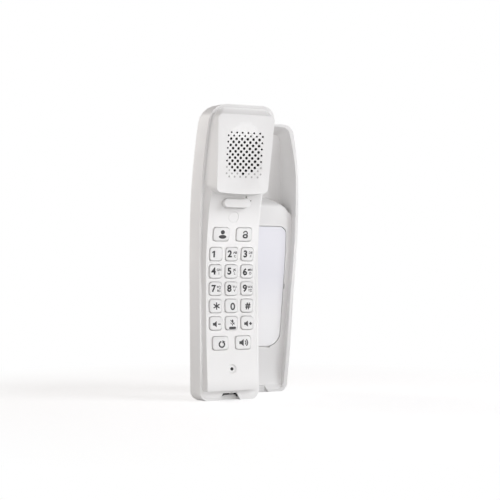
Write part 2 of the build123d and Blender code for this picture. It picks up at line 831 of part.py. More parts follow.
# Back plate with its screw bosses, wall-screw bosses and the window of the line jack
plate = extrude(Plane.XZ * base_outline(base_wall + plate_clearance, wall_foot_corner, wall_head_corner),
                amount=plate_thickness)
base_screw_seat = -screw_head_height - 2 * plate_slack
for x, height in base_screw_places():
    plate += cylinder_y(screw_head_radius + base_wall, boss_back, 0, x, height)
    plate -= cylinder_y(screw_well, base_screw_seat, overrun, x, height)
    plate -= cylinder_y(screw_hole, -span, overrun, x, height)
for height in wall_screw_heights:
    plate += cylinder_y(wall_screw_boss_radius, -wall_screw_seat, 0, 0, height)
    plate -= cylinder_y(wall_screw_hole_radius, -span, overrun, 0, height)
line_jack_head = line_jack_foot + line_jack_tall
plate -= block(line_jack_width / 2 + plate_clearance, -span, overrun, line_jack_foot - plate_clearance,
               line_jack_head + plate_clearance)
pad_places = [(side * pad_half_spread, height) for side in (-1, 1) for height in (pad_foot, pad_head)]
for x, height in pad_places:
    plate -= cylinder_y(pad_radius + seat_clearance, -pad_sink, overrun, x, height)
board_half_spread = base_board_half_width - board_post_inset
base_board_back = -plate_thickness - base_board_stand
for side in (-1, 1):
    for height in (base_board_foot + board_post_inset, base_board_head - board_post_inset):
        low, high = height - board_post_half, height + board_post_half
        x = side * board_half_spread
        plate += block(board_post_half, base_board_back, -plate_thickness, low, high, x)
base["base_back_plate"] = plate
pad_back = pad_thickness - pad_sink
base["rubber_pads"] = Compound([cylinder_y(pad_radius, -pad_sink, pad_back, *place) for place in pad_places])
base_screws = [screw(x, base_screw_seat, height, base_screw_length) for x, height in base_screw_places()]
base["base_screws"] = Compound(base_screws)

# Inner parts of the base
line_jack = block(line_jack_width / 2, hollow_front + plate_slack, 0, line_jack_foot, line_jack_head)
line_jack_middle = (line_jack_foot + line_jack_head) / 2
bore_low, bore_high = line_jack_middle - line_jack_bore_tall / 2, line_jack_middle + line_jack_bore_tall / 2
line_jack -= block(line_jack_bore_width / 2, -line_jack_bore_depth, overrun, bore_low, bore_high)
base["line_jack"] = line_jack
base_board_front = base_board_back - board_thickness
board_faces = base_board_front, base_board_back
base["base_board"] = block(base_board_half_width, *board_faces, base_board_foot, base_board_head)
ringer_front = base_board_front - ringer_depth
ringer_height = (base_board_foot + base_board_head) / 2
base["ringer"] = cylinder_y(ringer_radius, ringer_front, base_board_front, 0, ringer_height)

# Everything in one frame: origin on the floor below the middle of the whole part
move_base = Pos(base_offset, base_back_place, 0)
pieces = dict(handset)
pieces.update({name: move_base * shape for name, shape in base.items()})
box = Compound([shape for shape in pieces.values()]).bounding_box()
move_all = Pos(-(box.min.X + box.max.X) / 2, -(box.min.Y + box.max.Y) / 2, -box.min.Z)
for name, shape in pieces.items():
    export_step(move_all * shape, "parts/" + name + ".step")
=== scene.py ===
# %% [markdown]
# # An intercom telephone, dressed in Blender
#
# The CAD model comes in as a fixed frame: every piece already has its place, its size and the body it moves with.
# This lesson gives each piece the surface that the real one shows. It works in metres, with the floor at zero,
# the front of the object towards -Y and the height along +Z.

# %% Load the frame
import json
import math

import bmesh
import bpy
from mathutils import Matrix, Vector


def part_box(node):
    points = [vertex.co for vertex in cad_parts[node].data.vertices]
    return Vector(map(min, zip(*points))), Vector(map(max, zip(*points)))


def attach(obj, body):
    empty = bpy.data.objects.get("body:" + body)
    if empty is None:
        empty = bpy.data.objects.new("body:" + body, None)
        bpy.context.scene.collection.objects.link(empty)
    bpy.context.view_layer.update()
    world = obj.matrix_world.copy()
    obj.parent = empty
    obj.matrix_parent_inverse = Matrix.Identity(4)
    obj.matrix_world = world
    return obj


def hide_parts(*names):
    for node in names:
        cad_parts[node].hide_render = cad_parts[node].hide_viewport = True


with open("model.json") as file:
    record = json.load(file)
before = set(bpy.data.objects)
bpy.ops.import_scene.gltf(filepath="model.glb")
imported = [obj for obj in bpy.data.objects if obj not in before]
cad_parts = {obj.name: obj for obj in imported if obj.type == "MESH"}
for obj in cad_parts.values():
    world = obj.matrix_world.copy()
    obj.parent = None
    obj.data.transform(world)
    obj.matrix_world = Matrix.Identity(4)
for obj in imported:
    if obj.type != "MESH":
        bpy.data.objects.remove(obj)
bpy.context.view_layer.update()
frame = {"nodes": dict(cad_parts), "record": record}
record = frame["record"]
body_of = {node: body for body, nodes in record["behaviour"]["bodies"].items() for node in nodes}
slot_of = {part["node"]: part["material_slot"] for part in record["subparts"]}
MM = 0.001
print("pieces in the frame:", len(frame["nodes"]))

# %% [markdown]
# The handset and the base were each drawn round their own middle plane. Two small functions give a point of either
# one in the shared frame, so that every later size can be read straight off a drawing in millimetres.

# %% Where the handset and the base stand
jack_front = 4.7
shell_low, shell_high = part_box("handset_back_shell")
handset_x = (shell_low.x + shell_high.x) / 2
handset_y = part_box("handset_cord_jack")[0].y - jack_front * MM
plate_low, plate_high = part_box("base_back_plate")
base_x = (plate_low.x + plate_high.x) / 2
base_y = plate_high.y


def on_handset(x, y, z):
    """A point of the handset's own drawing, in the shared frame."""
    return Vector((handset_x + x * MM, handset_y + y * MM, z * MM))


def on_base(x, y, z):
    """A point of the base's own drawing, in the shared frame."""
    return Vector((base_x + x * MM, base_y + y * MM, z * MM))


print("handset middle", round(handset_x / MM, 2), "base middle", round(base_x / MM, 2))

# %% [markdown]
# ## Camera, floor and light
#
# The object is a white product on a white ground, so the picture lives from small differences of grey. The camera
# comes first, because everything is seen through it. It stands low and to the left, and looks level. A small
# lens shift puts the horizon where the photograph has it and keeps upright edges upright.

# %% Camera
view_turn = math.radians(25.62)
image_size = 500
focal_px = 1233.7
horizon_px = 268.5
sensor = 36.0
camera_place = Vector((-0.3708, -0.7789, 0.0897))

camera_data = bpy.data.cameras.new("camera")
camera_data.sensor_width = sensor
camera_data.lens = focal_px / image_size * sensor
camera_data.shift_y = (horizon_px - image_size / 2) / image_size
camera_data.clip_start = 0.01
camera = bpy.data.objects.new("camera", camera_data)
camera.location = camera_place
camera.rotation_euler = (math.radians(90), 0, -view_turn)
bpy.context.scene.collection.objects.link(camera)
bpy.context.scene.camera = camera
bpy.context.scene.view_settings.view_transform = "Standard"
print("lens", round(camera_data.lens, 1), "mm")

# %% [markdown]
# A material here is a small node tree. The helper below starts one and gives its shader back, with the plain
# numbers written on the shader's own sockets.

# %% Helpers for node trees
def new_material(name, color, roughness, **sockets):
    """Start a material and return it with its node tree and its shader."""
    material = bpy.data.materials.new(name)
    material.use_nodes = True
    tree = material.node_tree
    shader = tree.nodes["Principled BSDF"]
    shader.inputs["Base Color"].default_value = (*color, 1)
    shader.inputs["Roughness"].default_value = roughness
    for socket, value in sockets.items():
        shader.inputs[socket.replace("_", " ")].default_value = value
    return material, tree, shader


def noise_on_object(tree, scale, detail=2.0, roughness=0.5):
    """A noise pattern in the piece's own space; scale counts features per metre."""
    place = tree.nodes.new("ShaderNodeTexCoord")
    noise = tree.nodes.new("ShaderNodeTexNoise")
    noise.inputs["Scale"].default_value = scale
    noise.inputs["Detail"].default_value = detail
    noise.inputs["Roughness"].default_value = roughness
    tree.links.new(place.outputs["Object"], noise.inputs["Vector"])
    return noise.outputs["Fac"]


def add_bump(tree, shader, height, distance, strength=1.0):
    """Use a pattern as the shader's relief; distance is its depth in metres."""
    bump = tree.nodes.new("ShaderNodeBump")
    bump.inputs["Strength"].default_value = strength
    bump.inputs["Distance"].default_value = distance
    tree.links.new(height, bump.inputs["Height"])
    tree.links.new(bump.outputs["Normal"], shader.inputs["Normal"])


def ramp(tree, value, low, high, low_color, high_color):
    """Turn a pattern between two levels into a colour between two colours."""
    node = tree.nodes.new("ShaderNodeValToRGB")
    node.color_ramp.elements[0].position = low
    node.color_ramp.elements[0].color = (*low_color, 1)
    node.color_ramp.elements[1].position = high
    node.color_ramp.elements[1].color = (*high_color, 1)
    tree.links.new(value, node.inputs["Fac"])
    return node.outputs["Color"]


def mapped(tree, value, low=0.0, high=1.0, to_low=0.0, to_high=1.0):
    """Carry a value from one range over to another."""
    node = tree.nodes.new("ShaderNodeMapRange")
    for socket, number in zip(("From Min", "From Max", "To Min", "To Max"), (low, high, to_low, to_high)):
        node.inputs[socket].default_value = number
    tree.links.new(value, node.inputs["Value"])
    return node.outputs["Result"]


# %% [markdown]
# The floor is pale and only shows the soft shadow at the foot. Near the object it is a matt surface; further out it
# fades into plain white, so no edge of it shows.

# %% Floor
floor_reach = 1.6
shadow_reach = 0.16
floor_glow = 0.45
floor_mesh = bpy.data.meshes.new("floor")
bm = bmesh.new()
bmesh.ops.create_circle(bm, cap_ends=True, segments=96, radius=floor_reach)
bm.to_mesh(floor_mesh)
bm.free()
floor = bpy.data.objects.new("floor", floor_mesh)
bpy.context.scene.collection.objects.link(floor)

floor_material, tree, shader = new_material("floor_paper", (0.86, 0.86, 0.86), 0.9)
shader.inputs["Specular IOR Level"].default_value = 0.1
place = tree.nodes.new("ShaderNodeTexCoord")
distance = tree.nodes.new("ShaderNodeVectorMath")
distance.operation = "LENGTH"
tree.links.new(place.outputs["Object"], distance.inputs[0])
fade = mapped(tree, distance.outputs["Value"], shadow_reach, 2 * shadow_reach)
seen = tree.nodes.new("ShaderNodeLightPath")
glow = tree.nodes.new("ShaderNodeEmission")
glow.inputs["Strength"].default_value = floor_glow
white = tree.nodes.new("ShaderNodeEmission")
near = tree.nodes.new("ShaderNodeAddShader")
tree.links.new(shader.outputs["BSDF"], near.inputs[0])
tree.links.new(glow.outputs["Emission"], near.inputs[1])
far = tree.nodes.new("ShaderNodeMixShader")
tree.links.new(fade, far.inputs["Fac"])
tree.links.new(near.outputs["Shader"], far.inputs[1])
tree.links.new(white.outputs["Emission"], far.inputs[2])
ground = tree.nodes.new("ShaderNodeMixShader")
tree.links.new(seen.outputs["Is Camera Ray"], ground.inputs["Fac"])
tree.links.new(shader.outputs["BSDF"], ground.inputs[1])
tree.links.new(far.outputs["Shader"], ground.inputs[2])
tree.links.new(ground.outputs["Shader"], tree.nodes["Material Output"].inputs["Surface"])
floor_mesh.materials.append(floor_material)
print("floor radius", floor_reach, "m, shadow shown to", shadow_reach, "m")

# %% [markdown]
# The world is plain white to the camera. As light it is a warm sky that is bright low down and dims overhead, so the
# upright faces get more of it than the level ones, as they would in a light tent.

# %% World
sky_color = (1.0, 0.958, 0.942)
sky_from, sky_to = 0.1, 0.85
low_light, high_light = 0.95, 0.18
world = bpy.data.worlds.new("studio")
bpy.context.scene.world = world
world.use_nodes = True
tree = world.node_tree
background = tree.nodes["Background"]
background.inputs["Color"].default_value = (*sky_color, 1)
sky_direction = tree.nodes.new("ShaderNodeTexCoord")
sky_height = tree.nodes.new("ShaderNodeSeparateXYZ")
tree.links.new(sky_direction.outputs["Generated"], sky_height.inputs["Vector"])
sky_light = mapped(tree, sky_height.outputs["Z"], sky_from, sky_to, low_light, high_light)
tree.links.new(sky_light, background.inputs["Strength"])
backdrop = tree.nodes.new("ShaderNodeBackground")
backdrop.inputs["Color"].default_value = (1, 1, 1, 1)
rays = tree.nodes.new("ShaderNodeLightPath")
either = tree.nodes.new("ShaderNodeMath")
either.operation = "MAXIMUM"
tree.links.new(rays.outputs["Is Camera Ray"], either.inputs[0])
tree.links.new(rays.outputs["Is Transmission Ray"], either.inputs[1])
shown = tree.nodes.new("ShaderNodeMixShader")
tree.links.new(either.outputs["Value"], shown.inputs["Fac"])
tree.links.new(background.outputs["Background"], shown.inputs[1])
tree.links.new(backdrop.outputs["Background"], shown.inputs[2])
tree.links.new(shown.outputs["Shader"], tree.nodes["World Output"].inputs["Surface"])
print("sky light:", low_light, "low down,", high_light, "overhead")

# %% [markdown]
# Three large soft lamps model the form: a strong one from the right, one from behind on the left for the long flank,
# and a weak one from the front. The fourth is a low strip in front of the feet. It is left out of diffuse light and
# only mirrors in glossy plastic, which gives the dish of the ear pod its highlight.

# %% Soft lamps
def soft_lamp(name, place, aim, size, watts, color=(1, 1, 1)):
    """A large square lamp that looks at a point."""
    data = bpy.data.lights.new(name, "AREA")
    data.size = size
    data.energy = watts
    data.color = color
    lamp = bpy.data.objects.new(name, data)
    lamp.location = place
    lamp.rotation_euler = (Vector(aim) - Vector(place)).to_track_quat("-Z", "Y").to_euler()
    bpy.context.scene.collection.objects.link(lamp)
    return lamp


middle = Vector((0, 0, 0.1))
ear_dish = Vector((-0.02, -0.04, 0.18))
lamp_size = 0.6
card_width, card_height = 0.3, 0.055
soft_lamp("right_lamp", (0.75, -0.75, 0.55), middle, lamp_size, 5.0, (0.93, 0.96, 1.0))
soft_lamp("back_left_lamp", (-0.7, 0.95, 0.45), middle, lamp_size, 2.9, (1.0, 0.985, 0.96))
soft_lamp("front_lamp", (-0.35, -1.1, 0.5), middle, lamp_size, 1.3, (0.97, 0.98, 1.0))
card = soft_lamp("floor_card", (0.151, -0.377, 0.014), ear_dish, card_width, 0.55)
card.visible_diffuse = False
card.data.shape = "RECTANGLE"
card.data.size_y = card_height
print("lamps:", len(bpy.data.lights))

# %% [markdown]
# ## Finishes
#
# The case is moulded ABS: white, faintly warm, with the fine even texture that an eroded mould leaves. The texture
# is far smaller than a millimetre, so it shows as a soft broad shine and not as a pattern. A second, wider noise
# moves the shine a little, as handling and moulding do. The base is made a shade greyer than the handset: this grey
# is painted shade, for the shade the base lies in behind the handset.

# %% Moulded plastics
def moulded_plastic(name, color, roughness, grain=0.00002, grain_scale=4200.0):
    """Moulded plastic with a fine mould texture and a slightly uneven shine."""
    material, tree, shader = new_material(name, color, roughness, Specular_IOR_Level=0.45)
    darker = tuple(0.985 * c for c in color)
    patch = noise_on_object(tree, 45.0)
    tree.links.new(ramp(tree, patch, 0.35, 0.65, darker, color), shader.inputs["Base Color"])
    uneven = mapped(tree, noise_on_object(tree, 90.0), to_low=roughness - 0.04, to_high=roughness + 0.04)
    tree.links.new(uneven, shader.inputs["Roughness"])
    add_bump(tree, shader, noise_on_object(tree, grain_scale), grain, 0.35)
    return material


case_plastic = moulded_plastic("case_plastic", (0.87, 0.868, 0.862), 0.3)
# The base's greyer white is painted shade.
shaded_base_plastic = moulded_plastic("shaded_base_plastic", (0.83, 0.826, 0.821), 0.36)
key_plastic = moulded_plastic("key_plastic", (0.86, 0.86, 0.857), 0.36, 0.000012)
card_paper = moulded_plastic("card_paper", (0.88, 0.88, 0.88), 0.8, 0.00003, 2500.0)
socket_plastic = moulded_plastic("socket_plastic", (0.07, 0.07, 0.075), 0.45)
pale_socket = moulded_plastic("pale_socket", (0.62, 0.62, 0.62), 0.5)
black_plastic = moulded_plastic("black_plastic", (0.03, 0.03, 0.03), 0.5)
mat_rubber = moulded_plastic("mat_rubber", (0.42, 0.43, 0.44), 0.62, 0.00001, 1500.0)
boot_rubber = moulded_plastic("boot_rubber", (0.035, 0.035, 0.037), 0.7, 0.00001, 1500.0)
dark_foam = moulded_plastic("dark_foam", (0.045, 0.045, 0.048), 0.95, 0.0002, 2200.0)
print("nodes in one moulded finish:", len(case_plastic.node_tree.nodes))

# %% [markdown]
# The label window is a smooth, faintly lilac sheet over a white card. Its colour runs from a cool grey in its upper
# half to almost white at the foot: painted shade under the ear pod above and a painted reflection of the bright floor
# below. The change lies between two heights, measured in the piece's own space.

# %% Label window
painted_fade_foot, painted_fade_head = 0.055, 0.085
window_plastic, tree, shader = new_material("window_plastic", (0.8, 0.8, 0.84), 0.4, Specular_IOR_Level=0.15)
place = tree.nodes.new("ShaderNodeTexCoord")
axes = tree.nodes.new("ShaderNodeSeparateXYZ")
tree.links.new(place.outputs["Object"], axes.inputs["Vector"])
rise = mapped(tree, axes.outputs["Z"], painted_fade_foot, painted_fade_head)
# Painted light: grey shade under the ear pod at the top, a painted reflection of the bright floor at the foot.
painted_light_tint = ramp(tree, rise, 0.0, 1.0, (0.97, 0.97, 0.98), (0.87, 0.87, 0.92))
tree.links.new(painted_light_tint, shader.inputs["Base Color"])
add_bump(tree, shader, noise_on_object(tree, 30.0), 0.00001, 0.2)
print("the window's tint changes between", painted_fade_foot, "and", painted_fade_head, "m")

# %% [markdown]
# Metal, cloth and board are hidden in the closed telephone, but they show as soon as a piece is lifted off, so each
# gets its real surface too. Drawn or brushed metal has fine lines along one direction. A noise that is stretched
# that way gives both the relief and the uneven shine.

# %% Bare metal
def stretched_noise(tree, scale, stretch):
    """Noise drawn out along one direction, for brushed or drawn metal."""
    place = tree.nodes.new("ShaderNodeTexCoord")
    squeeze = tree.nodes.new("ShaderNodeMapping")
    squeeze.inputs["Scale"].default_value = stretch
    noise = tree.nodes.new("ShaderNodeTexNoise")
    noise.inputs["Scale"].default_value = scale
    tree.links.new(place.outputs["Object"], squeeze.inputs["Vector"])
    tree.links.new(squeeze.outputs["Vector"], noise.inputs["Vector"])
    return noise.outputs["Fac"]


def metal(name, color, roughness, scale, stretch):
    """Bare metal with fine drawn lines."""
    material, tree, shader = new_material(name, color, roughness, Metallic=1.0)
    lines = stretched_noise(tree, scale, stretch)
    uneven = mapped(tree, lines, to_low=roughness - 0.08, to_high=roughness + 0.12)
    tree.links.new(uneven, shader.inputs["Roughness"])
    add_bump(tree, shader, lines, 0.00001, 0.3)
    return material


screw_steel = metal("screw_steel", (0.62, 0.61, 0.58), 0.33, 900.0, (1.0, 6.0, 1.0))
can_metal = metal("can_metal", (0.74, 0.74, 0.75), 0.28, 700.0, (1.0, 1.0, 5.0))
frame_paint = moulded_plastic("frame_paint", (0.06, 0.06, 0.062), 0.42, 0.00001, 900.0)
print("metal finishes:", screw_steel.name, can_metal.name, frame_paint.name)

# %% [markdown]
# The dust cloth over the ear speaker is a fine black weave. Two waves that cross at a right angle stand for its
# threads: their product is high only where both threads lie on top.

# %% Speaker cloth
speaker_cloth, tree, shader = new_material("speaker_cloth", (0.05, 0.05, 0.052), 0.9, Sheen_Weight=0.25)
place = tree.nodes.new("ShaderNodeTexCoord")
threads = []
for direction in ("X", "Z"):
    wave = tree.nodes.new("ShaderNodeTexWave")
    wave.bands_direction = direction
    wave.inputs["Scale"].default_value = 420.0
    wave.inputs["Distortion"].default_value = 0.4
    tree.links.new(place.outputs["Object"], wave.inputs["Vector"])
    threads.append(wave.outputs["Fac"])
weave = tree.nodes.new("ShaderNodeMath")
weave.operation = "MULTIPLY"
tree.links.new(threads[0], weave.inputs[0])
tree.links.new(threads[1], weave.inputs[1])
tree.links.new(ramp(tree, weave.outputs["Value"], 0.1, 0.7, (0.02, 0.02, 0.02), (0.07, 0.07, 0.072)),
               shader.inputs["Base Color"])
add_bump(tree, shader, weave.outputs["Value"], 0.0001, 0.8)
print("threads that cross:", len(threads))

# %% [markdown]
# The circuit boards show copper tracks under green lacquer. A brick pattern gives a plain net of tracks, and its
# lines stand out a little. It is turned upright, because the boards stand upright.

# %% Circuit board
board_lacquer, tree, shader = new_material("board_lacquer", (0.02, 0.16, 0.06), 0.3, Coat_Weight=0.4)
place = tree.nodes.new("ShaderNodeTexCoord")
tracks = tree.nodes.new("ShaderNodeTexBrick")
tracks.inputs["Scale"].default_value = 160.0
tracks.inputs["Mortar Size"].default_value = 0.06
tracks.inputs["Color1"].default_value = (0.018, 0.15, 0.055, 1)
tracks.inputs["Color2"].default_value = (0.022, 0.17, 0.065, 1)
tracks.inputs["Mortar"].default_value = (0.06, 0.28, 0.1, 1)
turn = tree.nodes.new("ShaderNodeMapping")
turn.inputs["Rotation"].default_value = (math.radians(90), 0, 0)
tree.links.new(place.outputs["Object"], turn.inputs["Vector"])
tree.links.new(turn.outputs["Vector"], tracks.inputs["Vector"])
tree.links.new(tracks.outputs["Color"], shader.inputs["Base Color"])
add_bump(tree, shader, tracks.outputs["Fac"], 0.00003, 0.5)
print("nodes in the board's finish:", len(tree.nodes))

# %% [markdown]
# The legends are printed in a slightly grainy ink. With it the finishes are complete, and one table says which
# finish belongs to which material slot of the CAD model.

# %% Ink and the table of finishes
ink, tree, shader = new_material("legend_ink", (0.03, 0.03, 0.033), 0.5)
add_bump(tree, shader, noise_on_object(tree, 6000.0), 0.000006, 0.3)

finish_of_slot = {
    "case": case_plastic, "keys": key_plastic, "window": window_plastic, "card": card_paper,
    "jack": socket_plastic, "black_plastic": black_plastic, "rubber": mat_rubber, "dark_rubber": boot_rubber,
    "board": board_lacquer, "metal_can": can_metal, "speaker_frame": frame_paint, "cloth": speaker_cloth,
    "foam": dark_foam, "screw_steel": screw_steel,
}
print("finishes:", len(finish_of_slot) + 1)

# %% [markdown]
# ## Pieces that keep the CAD shape
#
# A CAD node is a bag of loose triangles. For smooth shading its copy is merged first; then every edge flatter than a
# set angle is shaded round and every sharper one stays an edge.

# %% Smooth copies of the CAD nodes
merge_distance = 0.000002


def shade_edges(mesh, edge_angle=28.0):
    """Shade a mesh round, but for the edges that are sharper than an angle in degrees."""
    mesh.shade_smooth()
    mesh.set_sharp_from_angle(angle=math.radians(edge_angle))
    return mesh


def merged_mesh(node):
    """The node's mesh with its loose triangles joined."""
    bm = bmesh.new()
    bm.from_mesh(frame["nodes"][node].data)
    bmesh.ops.remove_doubles(bm, verts=bm.verts, dist=merge_distance)
    points = [v.co.copy() for v in bm.verts]
    bm.verts.index_update()
    faces = [[v.index for v in face.verts] for face in bm.faces]
    bm.free()
    mesh = bpy.data.meshes.new(node + "_skin")
    mesh.from_pydata(points, [], faces)
    return shade_edges(mesh)


def place_piece(name, mesh, body, material):
    """Put a finished mesh in the scene, on the body it moves with."""
    piece = bpy.data.objects.new(name, mesh)
    bpy.context.scene.collection.objects.link(piece)
    mesh.materials.clear()
    mesh.materials.append(material)
    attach(piece, body)
    return piece


def smooth_copy(node, mesh=None, material=None):
    """A smooth copy that stands for a CAD node."""
    slot = slot_of[node]
    material = material or finish_of_slot[slot]
    piece = place_piece(node + "_skin", mesh or merged_mesh(node), body_of[node], material)
    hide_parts(node)
    return piece


# %% [markdown]
# Two copies get a little more shape than their nodes have. The window is made a hair smaller all round, so that the
# dark gap line shows. The hump that carries the window ends in a plain edge in CAD. Its edge is found by its place
# and by the direction of its two faces, and a bevel in steps rounds it.

# %% Window and hump
window_inset = 0.22
hump_low, hump_high = 130.2, 146.0
hump_reach = 13.0
hump_round = 2.6
hump_steps = 7
same_plane = math.radians(1)
crest_angle = math.radians(40)
facing_front, facing_up = 0.97, 0.2


def shrunk(mesh, inset):
    """The mesh made narrower and lower by the same amount all round."""
    for axis in (0, 2):
        values = [vertex.co[axis] for vertex in mesh.vertices]
        middle_value = (min(values) + max(values)) / 2
        share = 1 - inset * MM * 2 / (max(values) - min(values))
        for vertex in mesh.vertices:
            vertex.co[axis] = middle_value + (vertex.co[axis] - middle_value) * share
    return mesh


def rounded_hump(mesh):
    """The tray with its hump's upper edge rounded, as the moulding's is."""
    bm = bmesh.new()
    bm.from_mesh(mesh)
    bmesh.ops.dissolve_limit(bm, angle_limit=same_plane, verts=bm.verts, edges=bm.edges)
    crest = []
    for edge in bm.edges:
        middle_point = (edge.verts[0].co + edge.verts[1].co) / 2
        if len(edge.link_faces) != 2 or not edge.is_convex or middle_point.y > hump_reach * MM:
            continue
        first, second = (face.normal for face in edge.link_faces)
        flat, rising = (first, second) if first.y < second.y else (second, first)
        at_crest = hump_low * MM < middle_point.z < hump_high * MM
        if at_crest and flat.y < -facing_front and rising.z > facing_up and first.angle(second) > crest_angle:
            crest.append(edge)
    bmesh.ops.bevel(bm, geom=crest, offset=hump_round * MM, segments=hump_steps, profile=0.5, affect="EDGES",
                    clamp_overlap=False)
    bm.to_mesh(mesh)
    bm.free()
    print("rounded edges of the hump:", len(crest))
    return shade_edges(mesh)


# %% [markdown]
# One loop now dresses every node that keeps its shape: it makes the smooth copy, gives it the finish of its slot and
# hides the node, so that the copy stands for it. The cover, the keys and the screws are left out, because they
# are made anew below. The base's outer pieces have finishes of their own.

# %% Copies of the nodes that keep their shape
key_nodes = [node for node in frame["nodes"] if slot_of[node] == "keys"]
made_later = {"handset_screws", "base_screws", "handset_front_cover", *key_nodes}
own_mesh = {"label_window": shrunk(merged_mesh("label_window"), window_inset),
            "base_tray": rounded_hump(merged_mesh("base_tray"))}
own_finish = {"base_tray": shaded_base_plastic, "base_back_plate": shaded_base_plastic, "base_cord_jack": pale_socket}
for node in frame["nodes"]:
    if node not in made_later:
        smooth_copy(node, own_mesh.get(node), own_finish.get(node))
print("smooth copies:", len(frame["nodes"]) - len(made_later))

# %% [markdown]
# ## The ear pod's dish
#
# The handset is bowed: its upper half curves forward, towards the ear. The joint between cover and shell follows a
# straight lean and then one large arc, and all depths on the front are counted from that joint.

# %% The bow of the handset
handset_height = 198.2
bend_height = 90.0
lean = 1.6
sweep_radius = 225.0


def parting_y(height):
    """Depth of the joint between cover and shell at a height."""
    if height < bend_height:
        return lean * height / bend_height
    angle = math.atan2(lean, bend_height)
    middle_y = lean - sweep_radius * math.cos(angle)
    middle_z = bend_height + sweep_radius * math.sin(angle)
    return middle_y + math.sqrt(sweep_radius ** 2 - (height - middle_z) ** 2)


print("depth of the joint at the head:", round(parting_y(handset_height), 2), "mm")

# %% [markdown]
# The face of the ear pod is a shallow dish full of sound holes. The thin triangles between the holes would shade it
# in blotches. The dish is part of a large ring surface, so the true direction of its surface is known everywhere, and
# the copy is shaded with that direction instead of an average over its triangles.

# %% The dish's true surface
pod_foot, pod_head = 140.5, 191.3
pod_foot_rise = 16.8
pod_tilt = math.radians(8.3)
dish_depth = 1.6
dish_across = 69.0
dish_along = 155.0
dish_ring = dish_along - dish_across
pod_middle = (pod_foot + pod_head) / 2
pod_face_y = parting_y(pod_foot) - pod_foot_rise - (pod_head - pod_foot) / 2 * math.sin(pod_tilt)
pod_right = Vector((1, 0, 0))
pod_up = Vector((0, -math.sin(pod_tilt), math.cos(pod_tilt)))
pod_out = Vector((0, -math.cos(pod_tilt), -math.sin(pod_tilt)))
pod_origin = on_handset(0, pod_face_y, pod_middle)
dish_centre = pod_origin + pod_out * (dish_along - dish_depth) * MM


def dish_direction(point):
    """Where the dish's surface faces at a point, and how far the point is from that surface."""
    from_centre = point - dish_centre
    level = Vector((0, from_centre.y, from_centre.z))
    ring_point = dish_centre + level.normalized() * dish_ring * MM
    outward = point - ring_point
    return -outward.normalized(), abs(outward.length - dish_across * MM)


print("middle of the dish's ring:", [round(value / MM, 1) for value in dish_centre], "mm")

# %% [markdown]
# Only the faces that lie on the dish get the new directions. Where the dish runs out, the direction turns gently
# into that of the flat face, so that no line shows there.

# %% Shading of the dish
dish_fade = 0.15
on_dish_match = 0.94
on_dish_gap = 0.00004


def softened(direction, point):
    """The dish's direction, turned towards the flat face's where the dish runs out."""
    sink = max(0.0, (pod_origin - point).dot(pod_out)) / (dish_fade * MM)
    share = min(1.0, sink)
    share = share * share * (3 - 2 * share)
    return pod_out.lerp(direction, share).normalized()


def shade_dish(mesh):
    """Give every corner of the dish the direction of the true surface."""
    directions = [Vector(corner.vector) for corner in mesh.corner_normals]
    shaded = 0
    for face in mesh.polygons:
        facing, _ = dish_direction(face.center)
        true = [dish_direction(mesh.vertices[i].co) for i in face.vertices]
        if face.normal.dot(facing) > on_dish_match and all(gap < on_dish_gap for _, gap in true):
            shaded += 1
            for loop, index, (direction, _) in zip(face.loop_indices, face.vertices, true):
                directions[loop] = softened(direction, mesh.vertices[index].co)
    mesh.normals_split_custom_set(directions)
    return shaded


# %% [markdown]
# The keypad panel swells in front of the joint between cover and shell. The table gives how far, as pairs of a share
# of the handset's height and a share of the panel's rise. The keys, the print and the small dimples all ask the
# function below where the panel's face is.

# %% The panel's face
panel_rise = 3.0
rise_shares = (
    (0.076, 1.46), (0.151, 1.18), (0.252, 0.97), (0.353, 0.93), (0.454, 1.1), (0.535, 1.45), (0.606, 1.75),
    (0.677, 2.25), (0.747, 3.1),
)


def face_y(height):
    """Depth of the keypad panel's face at a height."""
    share = height / handset_height
    for (low, low_rise), (high, high_rise) in zip(rise_shares, rise_shares[1:]):
        if low <= share <= high:
            rise = low_rise + (high_rise - low_rise) * (share - low) / (high - low)
            return parting_y(height) - panel_rise * rise
    return parting_y(height) - panel_rise * rise_shares[0][1]


print("depth of the panel's face, foot to head:", [round(face_y(height), 2) for height in (20, 60, 100, 140)], "mm")

# %% [markdown]
# The microphone hole sits in a small round dish at the foot of the panel, and a pin-sized dimple lies beside the
# hook button. Both are turned from short profiles and cut out of the cover's copy with a Boolean modifier, whose
# result is kept as a plain mesh. Dark linings, painted shade, are set into the two holes.

# %% Turned shapes and cuts
def turned_mesh(name, profile, steps=40):
    """Turn pairs of radius and depth round an axis that points into the surface."""
    bm = bmesh.new()
    points = [bm.verts.new((radius * MM, depth * MM, 0)) for radius, depth in profile]
    edges = [bm.edges.new(pair) for pair in zip(points, points[1:])]
    bmesh.ops.spin(bm, geom=points + edges, cent=(0, 0, 0), axis=(0, 1, 0), angle=math.tau, steps=steps)
    bmesh.ops.remove_doubles(bm, verts=bm.verts, dist=merge_distance)
    bmesh.ops.recalc_face_normals(bm, faces=bm.faces)
    mesh = bpy.data.meshes.new(name)
    bm.to_mesh(mesh)
    bm.free()
    return mesh


def cut_away(mesh, cutter_mesh):
    """The mesh without what the cutter covers."""
    body = bpy.data.objects.new("cut_body", mesh)
    cutter = bpy.data.objects.new("cutter", cutter_mesh)
    for item in (body, cutter):
        bpy.context.scene.collection.objects.link(item)
    modifier = body.modifiers.new("cut", "BOOLEAN")
    modifier.operation = "DIFFERENCE"
    modifier.solver = "EXACT"
    modifier.object = cutter
    depsgraph = bpy.context.evaluated_depsgraph_get()
    result = bpy.data.meshes.new_from_object(body.evaluated_get(depsgraph), depsgraph=depsgraph)
    body.modifiers.clear()
    for item in (body, cutter):
        bpy.data.objects.remove(item)
    return shade_edges(result)


# %% [markdown]
# The microphone's dish is tilted with the panel's slope at that height. The cover's copy is cut twice, its ear dish
# is shaded by the true surface, and then the copy stands for the cover's node. A profile is a row of pairs: the
# radius, and the depth below the face.

